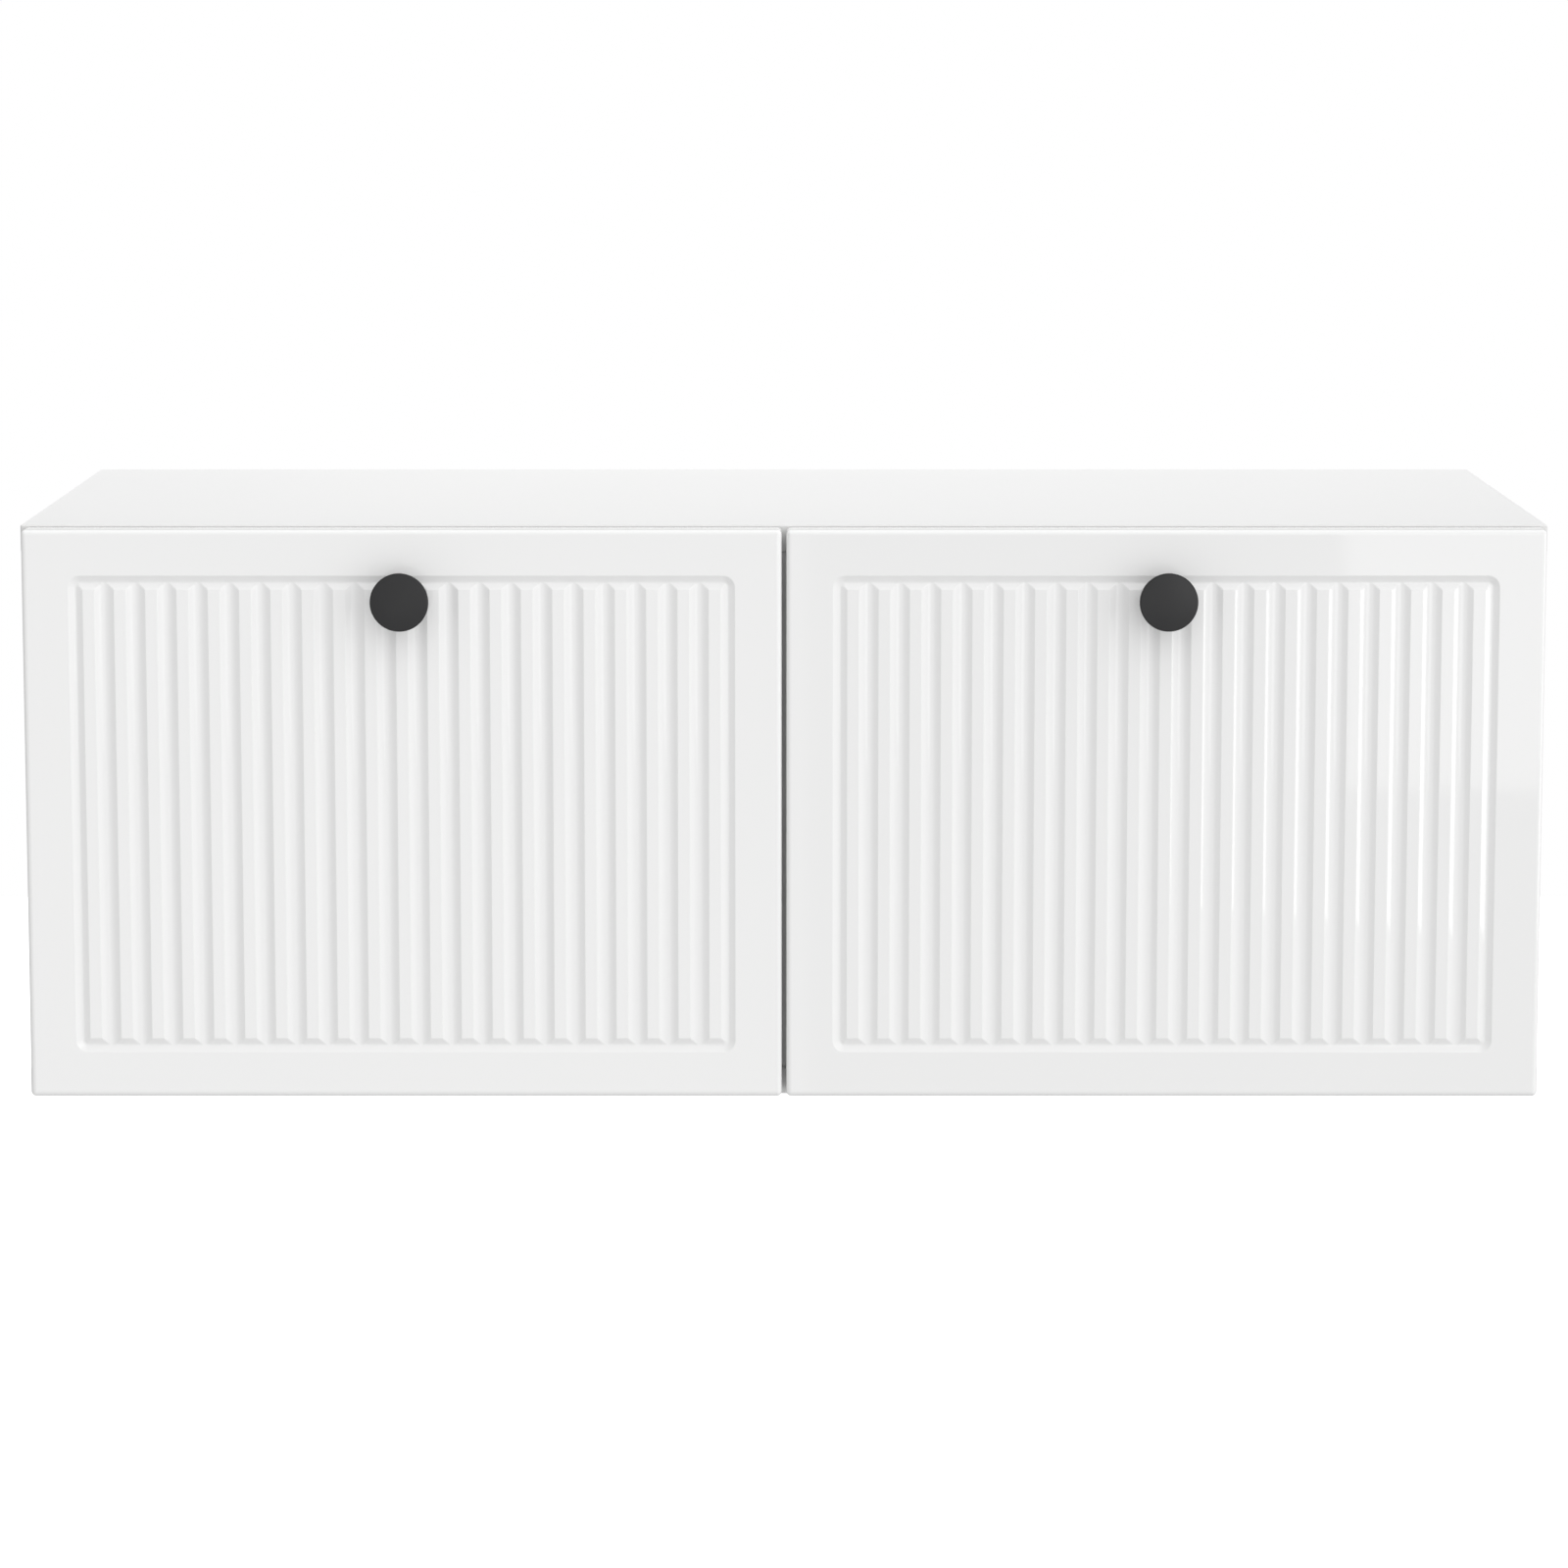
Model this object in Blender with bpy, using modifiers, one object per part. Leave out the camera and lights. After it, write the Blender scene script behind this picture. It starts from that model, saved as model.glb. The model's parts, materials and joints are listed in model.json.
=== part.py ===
"""Hanging wall cabinet with two fluted drop-down flaps, modelled in metres with +Z up.

+X is to the right seen from the front, the flaps face -Y, and the wall is the plane y = 0.
The origin is the middle of the wall rail's back face, where the cabinet is fixed to the wall.
Heights below are measured from the underside of the bottom panel: the empty "cabinet" carries
every piece and brings that level to its place under the origin.
"""
import math

import bmesh
import bpy
from mathutils import Matrix, Vector

# ---------------------------------------------------------------- driving dimensions (metres)
WIDTH = 1.000               # over the ends of the top and bottom panels
HEIGHT = 0.380              # over the top and bottom panels
DEPTH = 0.380               # wall to the front edges of the panels

FIT = 0.0003                # gap between pieces that touch
OVERCUT = 0.010             # how far a cutter runs past the piece it cuts
BOARD = 0.018               # carcass board
BACK_BOARD = 0.0032         # hardboard back
EDGE_ROUND = 0.001          # rounding of the carcass board's edges
SIDE_INSET = 0.001          # side panels stand in from the ends of the top and bottom panels
BACK_SETBACK = 0.018        # hollow behind the back panel, where the wall rail lies
BACK_GROOVE = 0.008         # depth of the groove that holds the back panel

SHELF_SETBACK = 0.025       # shelf's front edge behind the carcass front
SHELF_END_GAP = 0.001       # shelf to the panels beside it and behind it
SHELF_MIDDLE = 0.190        # height of the shelf's middle plane
PIN_SHANK_RADIUS = 0.0025   # shelf pin, the part in its panel
PIN_PEG_RADIUS = 0.0030     # shelf pin, the part under the shelf
PIN_SHANK_LENGTH = 0.007
PIN_PEG_LENGTH = 0.009
PIN_FROM_SHELF_EDGE = 0.040  # pin to the shelf's front or back edge

FLAP_BOARD = 0.018          # fluted flap
FLAP_GAP_BEHIND = 0.002     # flap to the carcass front
FLAP_SIDE_REVEAL = 0.003    # flap stands in from the ends of the top and bottom panels
FLAP_CENTRE_GAP = 0.003     # between the two flaps
FLAP_TOP_REVEAL = 0.0015
FLAP_BOTTOM_REVEAL = 0.0025
FLAP_EDGE_ROUND = 0.003
FLUTE_COUNT = 20            # coves, with one more flat rib than coves
COVE_WIDTH = 0.0126
COVE_DEPTH = 0.0025
CHANNEL_WIDTH = 0.0093      # round channel that frames the flutes
CHANNEL_DEPTH = 0.0025
CHANNEL_SIDE_MARGIN = 0.0305     # flap edge to the channel's outer edge
CHANNEL_END_MARGIN = 0.0298
CHANNEL_CORNER_RADIUS = 0.0105   # of the channel's outer edge

HINGE_LENGTH = 0.060
HINGE_FROM_FLAP_END = 0.080      # hinge's middle to the flap's end
HINGE_LEAF = 0.0008
HINGE_LEAF_HEIGHT = 0.0145       # above the hinge axis
HINGE_LEAF_RECESS = 0.0006       # how deep a leaf is let into its board
KNUCKLE_RADIUS = 0.0022
KNUCKLE_BORE_RADIUS = 0.00135
KNUCKLE_COUNT = 5
KNUCKLE_GAP = 0.0004
HINGE_PIN_RADIUS = 0.0011
HINGE_SCREW_HOLE_RADIUS = 0.0017

KNOB_DROP = 0.0447          # knob axis below the flap's top edge
KNOB_RADIUS = 0.019
KNOB_PROJECTION = 0.0245    # from the flap's face
KNOB_RIM_PLANE = 0.0205     # widest plane, from the flap's face
KNOB_DOME = 0.0012          # rise of the nearly flat face
KNOB_RIM_ROUND = 0.0025
KNOB_NECK_RADIUS = 0.0060
KNOB_FOOT_RADIUS = 0.0080
KNOB_SCREW_RADIUS = 0.0020
KNOB_SCREW_HEAD_RADIUS = 0.0042
KNOB_SCREW_HEAD = 0.0022
KNOB_SCREW_BITE = 0.0085    # length of the screw inside the knob

CATCH_WIDTH = 0.045
CATCH_DEPTH = 0.018
CATCH_HEIGHT = 0.0135
STRIKE_WIDTH = 0.040
STRIKE_HEIGHT = 0.011
STRIKE_THICKNESS = 0.0012
BUMPER_RADIUS = 0.003
BUMPER_GAP = 0.0005         # bumper to the carcass front
BUMPER_DROP = 0.030         # below the flap's top edge

STAY_RADIUS = 0.150         # hinge axis to either pivot of the stay
STAY_CLOSED_ANGLE = math.radians(35.0)   # between the two pivots, seen from the hinge axis
STAY_OPENING = math.radians(90.0)
STAY_REACH = 0.012          # bracket's pivot behind the flap's inner face
STAY_ROD_OFFSET = 0.011     # rod's middle from the side panel
STAY_ROD_RADIUS = 0.003
STAY_ROD_CLEARANCE = 0.0004
STAY_PLATE = 0.002
STAY_EYE_RADIUS = 0.007
STAY_EYE_THICKNESS = 0.005
STAY_RIVET_RADIUS = 0.0020
STAY_BARREL_RADIUS = 0.009
STAY_BARREL_GAP = 0.0005    # barrel to the base plate
STAY_BARREL_WALL = 0.0018   # barrel's wall outside the rod's hole
STAY_STUD_RADIUS = 0.003
STAY_STUD_LENGTH = 0.0034
STAY_BASE_WIDTH = 0.024
STAY_BASE_HEIGHT = 0.038
STAY_BRACKET_WIDTH = 0.024
STAY_BRACKET_HEIGHT = 0.034
STAY_COLLAR_RADIUS = 0.006
STAY_COLLAR_LENGTH = 0.006
STAY_COLLAR_GAP = 0.0008    # barrel to collar with the flap fully open
STAY_ROD_TIP = 0.0015       # rod past its collar
STAY_SCREW_HOLE_RADIUS = 0.0020

RAIL_PLATE = 0.002
RAIL_FLANGE_HEIGHT = 0.020  # flat part that lies on the wall
RAIL_LIP_HEIGHT = 0.014     # upright part that the hooks grip
RAIL_STEP = 0.006           # lip's back to the wall
RAIL_SLOPE = 0.005          # height of the slope between flange and lip
RAIL_END_GAP = 0.003
RAIL_TOP_BELOW_BOARD = 0.012     # rail's top edge under the top panel
RAIL_HOLE_RADIUS = 0.00325
RAIL_HOLE_PITCH = 0.160

HANGER_WIDTH = 0.020
HANGER_DEPTH = 0.045
HANGER_HEIGHT = 0.060
HANGER_WALL = 0.002
HOOK_THICKNESS = 0.004
HOOK_ARM = 0.0075           # height of the hook's arm
HOOK_TIP_DEPTH = 0.0038
HOOK_TIP_DROP = 0.012       # tip below the rail's top edge
HOOK_WALL_GAP = 0.0015      # tip to the wall
HOOK_PLATE_HEIGHT = 0.048
HOOK_PLATE_DEPTH = 0.024
HOOK_SLOT_CLEARANCE = 0.0015
COVER_WALL = 0.0015
COVER_CLEARANCE = 0.0005

# ------------------------------------------------------------- places worked out from them
SIDE_OUTER = WIDTH / 2 - SIDE_INSET
SIDE_INNER = SIDE_OUTER - BOARD
INNER_FLOOR = BOARD
INNER_CEILING = HEIGHT - BOARD
BACK_FRONT_FACE = -(BACK_SETBACK + BACK_BOARD)
FLAP_BACK_FACE = -(DEPTH + FLAP_GAP_BEHIND)
BUMPER_THICKNESS = FLAP_GAP_BEHIND - FIT - BUMPER_GAP
FLAP_FRONT_FACE = FLAP_BACK_FACE - FLAP_BOARD
FLAP_BOTTOM = FLAP_BOTTOM_REVEAL
FLAP_TOP = HEIGHT - FLAP_TOP_REVEAL
FLAP_WIDTH = WIDTH / 2 - FLAP_SIDE_REVEAL - FLAP_CENTRE_GAP / 2
FLAP_CENTRE_X = FLAP_CENTRE_GAP / 2 + FLAP_WIDTH / 2
HINGE_AXIS = Vector((0.0, -(DEPTH + FLAP_GAP_BEHIND / 2), FLAP_BOTTOM))
KNOB_AXIS_Z = FLAP_TOP - KNOB_DROP
RAIL_TOP = INNER_CEILING - RAIL_TOP_BELOW_BOARD
RAIL_CENTRE_Z = RAIL_TOP - RAIL_LIP_HEIGHT - RAIL_SLOPE - RAIL_FLANGE_HEIGHT / 2
SHELF_UNDERSIDE = SHELF_MIDDLE - BOARD / 2
SHELF_FRONT = -(DEPTH - SHELF_SETBACK)
SHELF_BACK = BACK_FRONT_FACE - SHELF_END_GAP

# The stay's two pivots lie at one distance from the hinge axis, so the rod always turns
# through half the flap's angle and slides straight through the swivel barrel.
STAY_BRACKET_ANGLE = math.asin((STAY_REACH - FLAP_GAP_BEHIND / 2) / STAY_RADIUS)
STAY_BARREL_ANGLE = STAY_BRACKET_ANGLE + STAY_CLOSED_ANGLE
STAY_SPAN_OPEN = 2 * STAY_RADIUS * math.sin((STAY_CLOSED_ANGLE + STAY_OPENING) / 2)


# ------------------------------------------------------------------- scene and materials
for old in list(bpy.data.objects):
    bpy.data.objects.remove(old, do_unlink=True)

parts = bpy.data.collections.new("hanging_wall_cabinet")
cutters = bpy.data.collections.new("cutters")
bpy.context.scene.collection.children.link(parts)
bpy.context.scene.collection.children.link(cutters)


def finish(name, colour, roughness, metallic=0.0):
    """One finish as a Principled material."""
    material = bpy.data.materials.new(name)
    material.use_nodes = True
    shader = material.node_tree.nodes["Principled BSDF"]
    shader.inputs["Base Color"].default_value = (*colour, 1.0)
    shader.inputs["Roughness"].default_value = roughness
    shader.inputs["Metallic"].default_value = metallic
    return material


WHITE_BOARD = finish("white_board", (0.84, 0.84, 0.84), 0.40)
WHITE_GLOSS = finish("white_gloss_front", (0.84, 0.84, 0.84), 0.12)
HARDBOARD = finish("white_hardboard", (0.80, 0.80, 0.79), 0.50)
BLACK_KNOB = finish("satin_black_metal", (0.035, 0.035, 0.036), 0.38, 0.3)
NICKEL = finish("nickel_plated_steel", (0.66, 0.65, 0.63), 0.28, 1.0)
ZINC = finish("zinc_plated_steel", (0.58, 0.59, 0.60), 0.38, 1.0)
WHITE_PLASTIC = finish("white_plastic", (0.80, 0.80, 0.79), 0.45)
GREY_PLASTIC = finish("grey_plastic", (0.30, 0.30, 0.31), 0.45)
CLEAR_BUMPER = finish("clear_bumper", (0.75, 0.76, 0.77), 0.15)


# ------------------------------------------------------------------------- modelling tools
def empty(name, parent, point):
    """A carrier for pieces: the whole cabinet, or a moving body on its joint axis."""
    carrier = bpy.data.objects.new(name, None)
    parts.objects.link(carrier)
    carrier.parent = parent
    carrier.location = Vector(point) - level_of(parent)
    return carrier


def level_of(carrier):
    """Where a carrier stands, measured in the cabinet's own frame."""
    point = Vector((0.0, 0.0, 0.0))
    while carrier is not None and carrier.parent is not None:
        point += carrier.location
        carrier = carrier.parent
    return point


def add_object(name, mesh, parent, centre, material=None):
    """Put a mesh in the scene as a part, or as a cutter when it has no material."""
    thing = bpy.data.objects.new(name, mesh)
    thing.parent = parent
    thing.location = Vector(centre) - level_of(parent)
    if material is None:
        cutters.objects.link(thing)
        thing.hide_render = True
        thing.display_type = "WIRE"
    else:
        parts.objects.link(thing)
        mesh.materials.append(material)
    return thing


def mesh_from(bm, name):
    mesh = bpy.data.meshes.new(name)
    bm.to_mesh(mesh)
    bm.free()
    return mesh


def block(name, low, high, parent, material=None):
    """A rectangular piece between two corners."""
    low, high = Vector(low), Vector(high)
    bm = bmesh.new()
    bmesh.ops.create_cube(bm, size=1.0, matrix=Matrix.Diagonal((*(high - low), 1.0)))
    return add_object(name, mesh_from(bm, name), parent, (low + high) / 2, material)


def rod_between(name, radius, start, end, parent, material=None, sides=16):
    """A round bar from one point to another."""
    return rods(name, radius, [(start, end)], parent, material, sides)


def rods(name, radius, spans, parent, material=None, sides=16):
    """Round bars of one radius, each along its own span, as one object."""
    centre = Vector(spans[0][0])
    bm = bmesh.new()
    for start, end in spans:
        start, end = Vector(start), Vector(end)
        along = end - start
        turn = along.to_track_quat("Z", "Y").to_matrix().to_4x4()
        place = Matrix.Translation((start + end) / 2 - centre) @ turn
        bmesh.ops.create_cone(
            bm, cap_ends=True, segments=sides, radius1=radius, radius2=radius,
            depth=along.length, matrix=place)
    return add_object(name, mesh_from(bm, name), parent, centre, material)


def turned(name, profile, axis, foot, parent, material, steps=24):
    """A lathe-turned piece: (radius, height) points from its top down its outer side."""
    mesh = bpy.data.meshes.new(name)
    points = [(radius, 0.0, height) for radius, height in profile]
    mesh.from_pydata(points, [(i, i + 1) for i in range(len(points) - 1)], [])
    piece = add_object(name, mesh, parent, foot, material)
    piece.rotation_euler = Vector(axis).to_track_quat("Z", "Y").to_euler()
    screw = piece.modifiers.new("turn", "SCREW")
    screw.axis = "Z"
    screw.steps = steps
    screw.render_steps = steps
    screw.use_merge_vertices = True
    screw.merge_threshold = 0.00001
    screw.use_smooth_shade = True
    return piece


def plate(name, outline, thickness, middle_x, parent, material):
    """A plate in a plane of constant X, cut to an outline of (y, z) points."""
    curve = bpy.data.curves.new(name, "CURVE")
    curve.dimensions = "2D"
    curve.fill_mode = "BOTH"
    curve.extrude = thickness / 2
    spline = curve.splines.new("POLY")
    spline.points.add(len(outline) - 1)
    first_y, first_z = outline[0]
    for point, (y, z) in zip(spline.points, outline):
        point.co = (y - first_y, z - first_z, 0.0, 1.0)
    spline.use_cyclic_u = True
    sketch = bpy.data.objects.new(name + "_sketch", curve)
    parts.objects.link(sketch)
    bpy.context.view_layer.update()
    mesh = bpy.data.meshes.new_from_object(sketch.evaluated_get(bpy.context.evaluated_depsgraph_get()))
    bpy.data.objects.remove(sketch)
    bm = bmesh.new()
    bm.from_mesh(mesh)
    bmesh.ops.remove_doubles(bm, verts=bm.verts, dist=0.00001)
    # The sketch's X and Y become the cabinet's Y and Z.
    bm.transform(Matrix(((0, 0, 1, 0), (1, 0, 0, 0), (0, 1, 0, 0), (0, 0, 0, 1))))
    bmesh.ops.recalc_face_normals(bm, faces=bm.faces)
    bm.to_mesh(mesh)
    bm.free()
    mesh.materials.clear()
    return add_object(name, mesh, parent, (middle_x, first_y, first_z), material)


def combine(target, tool, operation):
    """Cut a tool out of a piece, or join it to the piece."""
    change = target.modifiers.new(tool.name, "BOOLEAN")
    change.operation = operation
    change.solver = "EXACT"
    change.object = tool


def cut(target, tool):
    combine(target, tool, "DIFFERENCE")


def join(target, tool):
    combine(target, tool, "UNION")


def round_edges(piece, width, segments=1):
    bevel = piece.modifiers.new("edge_round", "BEVEL")
    bevel.width = width
    bevel.segments = segments
    bevel.limit_method = "ANGLE"


def arc(centre_u, centre_v, radius, start, end, count):
    """Points along an arc, both ends included, angles in degrees."""
    angles = [math.radians(start + (end - start) * i / count) for i in range(count + 1)]
    return [(centre_u + radius * math.cos(a), centre_v + radius * math.sin(a)) for a in angles]


cabinet = empty("cabinet", None, (0.0, 0.0, -RAIL_CENTRE_Z))


# --------------------------------------------------------------------------------- carcass
def make_carcass():
    """Top and bottom panels over the sides, a partition and a back panel in a groove."""
    half = WIDTH / 2
    top = block("top_panel", (-half, -DEPTH, INNER_CEILING), (half, 0, HEIGHT), cabinet, WHITE_BOARD)
    bottom = block("bottom_panel", (-half, -DEPTH, 0), (half, 0, INNER_FLOOR), cabinet, WHITE_BOARD)
    sides = {}
    for side, sign in (("left", -1), ("right", 1)):
        low_x, high_x = sorted((sign * SIDE_INNER, sign * SIDE_OUTER))
        sides[side] = block(
            f"{side}_side_panel", (low_x, -DEPTH, INNER_FLOOR + FIT),
            (high_x, 0, INNER_CEILING - FIT), cabinet, WHITE_BOARD)
    partition = block(
        "centre_partition", (-BOARD / 2, -DEPTH, INNER_FLOOR + FIT),
        (BOARD / 2, BACK_FRONT_FACE - FIT, INNER_CEILING - FIT), cabinet, WHITE_BOARD)
    for panel in (top, bottom, *sides.values(), partition):
        round_edges(panel, EDGE_ROUND)

    edge_x = SIDE_INNER + BACK_GROOVE
    low = Vector((-edge_x, BACK_FRONT_FACE, INNER_FLOOR - BACK_GROOVE))
    high = Vector((edge_x, -BACK_SETBACK, INNER_CEILING + BACK_GROOVE))
    back = block("back_panel", low, high, cabinet, HARDBOARD)
    grown = Vector((FIT, FIT, FIT))
    groove = block("back_panel_groove", low - grown, high + grown, cabinet)
    for panel in (top, bottom, *sides.values()):
        cut(panel, groove)
    return bottom, sides, partition, back


bottom_panel, side_panels, partition_panel, back_panel = make_carcass()


# --------------------------------------------------------------------------------- shelves
def make_shelf_pin(name, panel, face_x, direction, y):
    """One pin: its shank sits in a hole in the panel and its peg carries the shelf."""
    z = SHELF_UNDERSIDE - FIT - PIN_PEG_RADIUS
    chamfer = 0.0006
    profile = [
        (0, PIN_PEG_LENGTH),
        (PIN_PEG_RADIUS - chamfer, PIN_PEG_LENGTH),
        (PIN_PEG_RADIUS, PIN_PEG_LENGTH - chamfer),
        (PIN_PEG_RADIUS, FIT),
        (PIN_SHANK_RADIUS, FIT),
        (PIN_SHANK_RADIUS, chamfer - PIN_SHANK_LENGTH),
        (PIN_SHANK_RADIUS - chamfer, -PIN_SHANK_LENGTH),
        (0, -PIN_SHANK_LENGTH),
    ]
    turned(name, profile, (direction, 0, 0), (face_x, y, z), cabinet, NICKEL, steps=12)
    hole_end = face_x - direction * (PIN_SHANK_LENGTH + FIT)
    hole = rod_between(
        name + "_hole", PIN_SHANK_RADIUS + FIT, (face_x + direction * OVERCUT, y, z),
        (hole_end, y, z), cabinet, sides=12)
    cut(panel, hole)


def make_shelf(side, sign):
    """One adjustable shelf on four pins, in the middle of its compartment."""
    x_ends = sorted((sign * (BOARD / 2 + SHELF_END_GAP), sign * (SIDE_INNER - SHELF_END_GAP)))
    shelf = block(
        f"{side}_shelf", (x_ends[0], SHELF_FRONT, SHELF_UNDERSIDE),
        (x_ends[1], SHELF_BACK, SHELF_UNDERSIDE + BOARD), cabinet, WHITE_BOARD)
    round_edges(shelf, EDGE_ROUND)
    rows = (("front", SHELF_FRONT + PIN_FROM_SHELF_EDGE), ("back", SHELF_BACK - PIN_FROM_SHELF_EDGE))
    for row, y in rows:
        make_shelf_pin(f"{side}_shelf_{row}_outer_pin", side_panels[side], sign * SIDE_INNER, -sign, y)
        make_shelf_pin(f"{side}_shelf_{row}_inner_pin", partition_panel, sign * BOARD / 2, sign, y)


# ----------------------------------------------------------------------------------- flaps
def make_channel_cutter(side, carrier, centre_x):
    """A round bar bent to a rounded rectangle, which routs the channel round the flutes."""
    half_width = CHANNEL_WIDTH / 2
    radius = (half_width ** 2 + CHANNEL_DEPTH ** 2) / (2 * CHANNEL_DEPTH)
    corner = CHANNEL_CORNER_RADIUS - half_width
    reach_x = FLAP_WIDTH / 2 - CHANNEL_SIDE_MARGIN - half_width - corner
    middle_z = (FLAP_BOTTOM + FLAP_TOP) / 2
    reach_z = (FLAP_TOP - FLAP_BOTTOM) / 2 - CHANNEL_END_MARGIN - half_width - corner
    route = []
    for quarter, (sx, sz) in enumerate(((1, 1), (-1, 1), (-1, -1), (1, -1))):
        route += arc(sx * reach_x, sz * reach_z, corner, 90 * quarter, 90 * quarter + 90, 4)
    curve = bpy.data.curves.new(f"{side}_channel", "CURVE")
    curve.dimensions = "3D"
    curve.bevel_depth = radius
    curve.bevel_resolution = 6
    spline = curve.splines.new("POLY")
    spline.points.add(len(route) - 1)
    for point, (u, v) in zip(spline.points, route):
        point.co = (u, 0.0, v, 1.0)
    spline.use_cyclic_u = True
    bar = bpy.data.objects.new(f"{side}_channel_bar", curve)
    parts.objects.link(bar)
    bpy.context.view_layer.update()
    mesh = bpy.data.meshes.new_from_object(bar.evaluated_get(bpy.context.evaluated_depsgraph_get()))
    bpy.data.objects.remove(bar)
    centre = (centre_x, FLAP_FRONT_FACE + CHANNEL_DEPTH - radius, middle_z)
    return add_object(f"{side}_flap_channel", mesh, carrier, centre)


def make_flap(side, sign):
    """One flap: a routed, foil-wrapped board that turns on the hinges at its lower edge."""
    centre_x = sign * FLAP_CENTRE_X
    carrier = empty(f"{side}_flap_hinge_axis", cabinet, (centre_x, HINGE_AXIS.y, HINGE_AXIS.z))
    flap = block(
        f"{side}_flap", (centre_x - FLAP_WIDTH / 2, FLAP_FRONT_FACE, FLAP_BOTTOM),
        (centre_x + FLAP_WIDTH / 2, FLAP_BACK_FACE, FLAP_TOP), carrier, WHITE_GLOSS)

    bm = bmesh.new()
    bm.from_mesh(flap.data)
    back_y = FLAP_BOARD / 2
    wrapped = [e for e in bm.edges if min(v.co.y for v in e.verts) < back_y - FLAP_BOARD / 2]
    bmesh.ops.bevel(bm, geom=wrapped, offset=FLAP_EDGE_ROUND, segments=3, affect="EDGES",
                    profile=0.5, material=-1)
    bm.to_mesh(flap.data)
    bm.free()

    cut(flap, make_channel_cutter(side, carrier, centre_x))
    cove_radius = ((COVE_WIDTH / 2) ** 2 + COVE_DEPTH ** 2) / (2 * COVE_DEPTH)
    field = FLAP_WIDTH - 2 * (CHANNEL_SIDE_MARGIN + CHANNEL_WIDTH)
    rib = (field - FLUTE_COUNT * COVE_WIDTH) / (FLUTE_COUNT + 1)
    axis_y = FLAP_FRONT_FACE + COVE_DEPTH - cove_radius
    low_z = FLAP_BOTTOM + CHANNEL_END_MARGIN + CHANNEL_WIDTH / 2
    high_z = FLAP_TOP - CHANNEL_END_MARGIN - CHANNEL_WIDTH / 2
    spans = []
    for i in range(FLUTE_COUNT):
        x = centre_x - field / 2 + rib + COVE_WIDTH / 2 + i * (rib + COVE_WIDTH)
        spans.append(((x, axis_y, low_z), (x, axis_y, high_z)))
    cut(flap, rods(f"{side}_flap_coves", cove_radius, spans, carrier, sides=24))
    return carrier, flap


def make_knob(side, sign, carrier, flap):
    """A turned mushroom knob, held by a screw from behind through the flap."""
    centre_x = sign * FLAP_CENTRE_X
    rim_z = KNOB_RIM_PLANE
    face_radius = KNOB_RADIUS - KNOB_RIM_ROUND * 0.55
    face_z = KNOB_PROJECTION - KNOB_DOME
    dome_radius = (face_radius ** 2 + KNOB_DOME ** 2) / (2 * KNOB_DOME)
    dome_half_angle = math.degrees(math.asin(face_radius / dome_radius))
    dome = arc(0, KNOB_PROJECTION - dome_radius, dome_radius, 90, 90 - dome_half_angle, 6)
    waist_z = rim_z - KNOB_RIM_ROUND
    bore_radius = KNOB_SCREW_RADIUS + FIT
    profile = [(0.0, KNOB_PROJECTION)] + dome[1:] + [
        (KNOB_RADIUS - 0.0003, (face_z + rim_z) / 2 + 0.0006),
        (KNOB_RADIUS, rim_z),
        (KNOB_RADIUS - 0.0010, rim_z - KNOB_RIM_ROUND * 0.8),
        (KNOB_RADIUS * 0.78, waist_z - 0.0012),
        (KNOB_NECK_RADIUS + 0.0035, waist_z - 0.0035),
        (KNOB_NECK_RADIUS, waist_z - 0.0070),
        (KNOB_NECK_RADIUS, KNOB_FOOT_RADIUS * 0.45),
        (KNOB_FOOT_RADIUS, 0.0016),
        (KNOB_FOOT_RADIUS, FIT),
        (bore_radius, FIT),
        (bore_radius, KNOB_SCREW_BITE + FIT),
        (0.0, KNOB_SCREW_BITE + FIT),
    ]
    turned(f"{side}_knob", profile, (0, -1, 0), (centre_x, FLAP_FRONT_FACE, KNOB_AXIS_Z),
           carrier, BLACK_KNOB, steps=28)

    head_z = KNOB_SCREW_HEAD
    length = FLAP_BOARD + KNOB_SCREW_BITE
    screw_profile = [
        (0.0, head_z + FIT),
        (KNOB_SCREW_HEAD_RADIUS * 0.7, head_z + FIT - 0.0001),
        (KNOB_SCREW_HEAD_RADIUS, head_z * 0.4),
        (KNOB_SCREW_HEAD_RADIUS, FIT),
        (KNOB_SCREW_RADIUS, FIT),
        (KNOB_SCREW_RADIUS, 0.0005 - length),
        (KNOB_SCREW_RADIUS * 0.7, -length),
        (0.0, -length),
    ]
    turned(f"{side}_knob_screw", screw_profile, (0, 1, 0), (centre_x, FLAP_BACK_FACE, KNOB_AXIS_Z),
           carrier, ZINC, steps=16)
    hole = rod_between(
        f"{side}_knob_hole", KNOB_SCREW_RADIUS + FIT,
        (centre_x, FLAP_FRONT_FACE - OVERCUT, KNOB_AXIS_Z),
        (centre_x, FLAP_BACK_FACE + OVERCUT, KNOB_AXIS_Z), carrier)
    cut(flap, hole)


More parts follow.
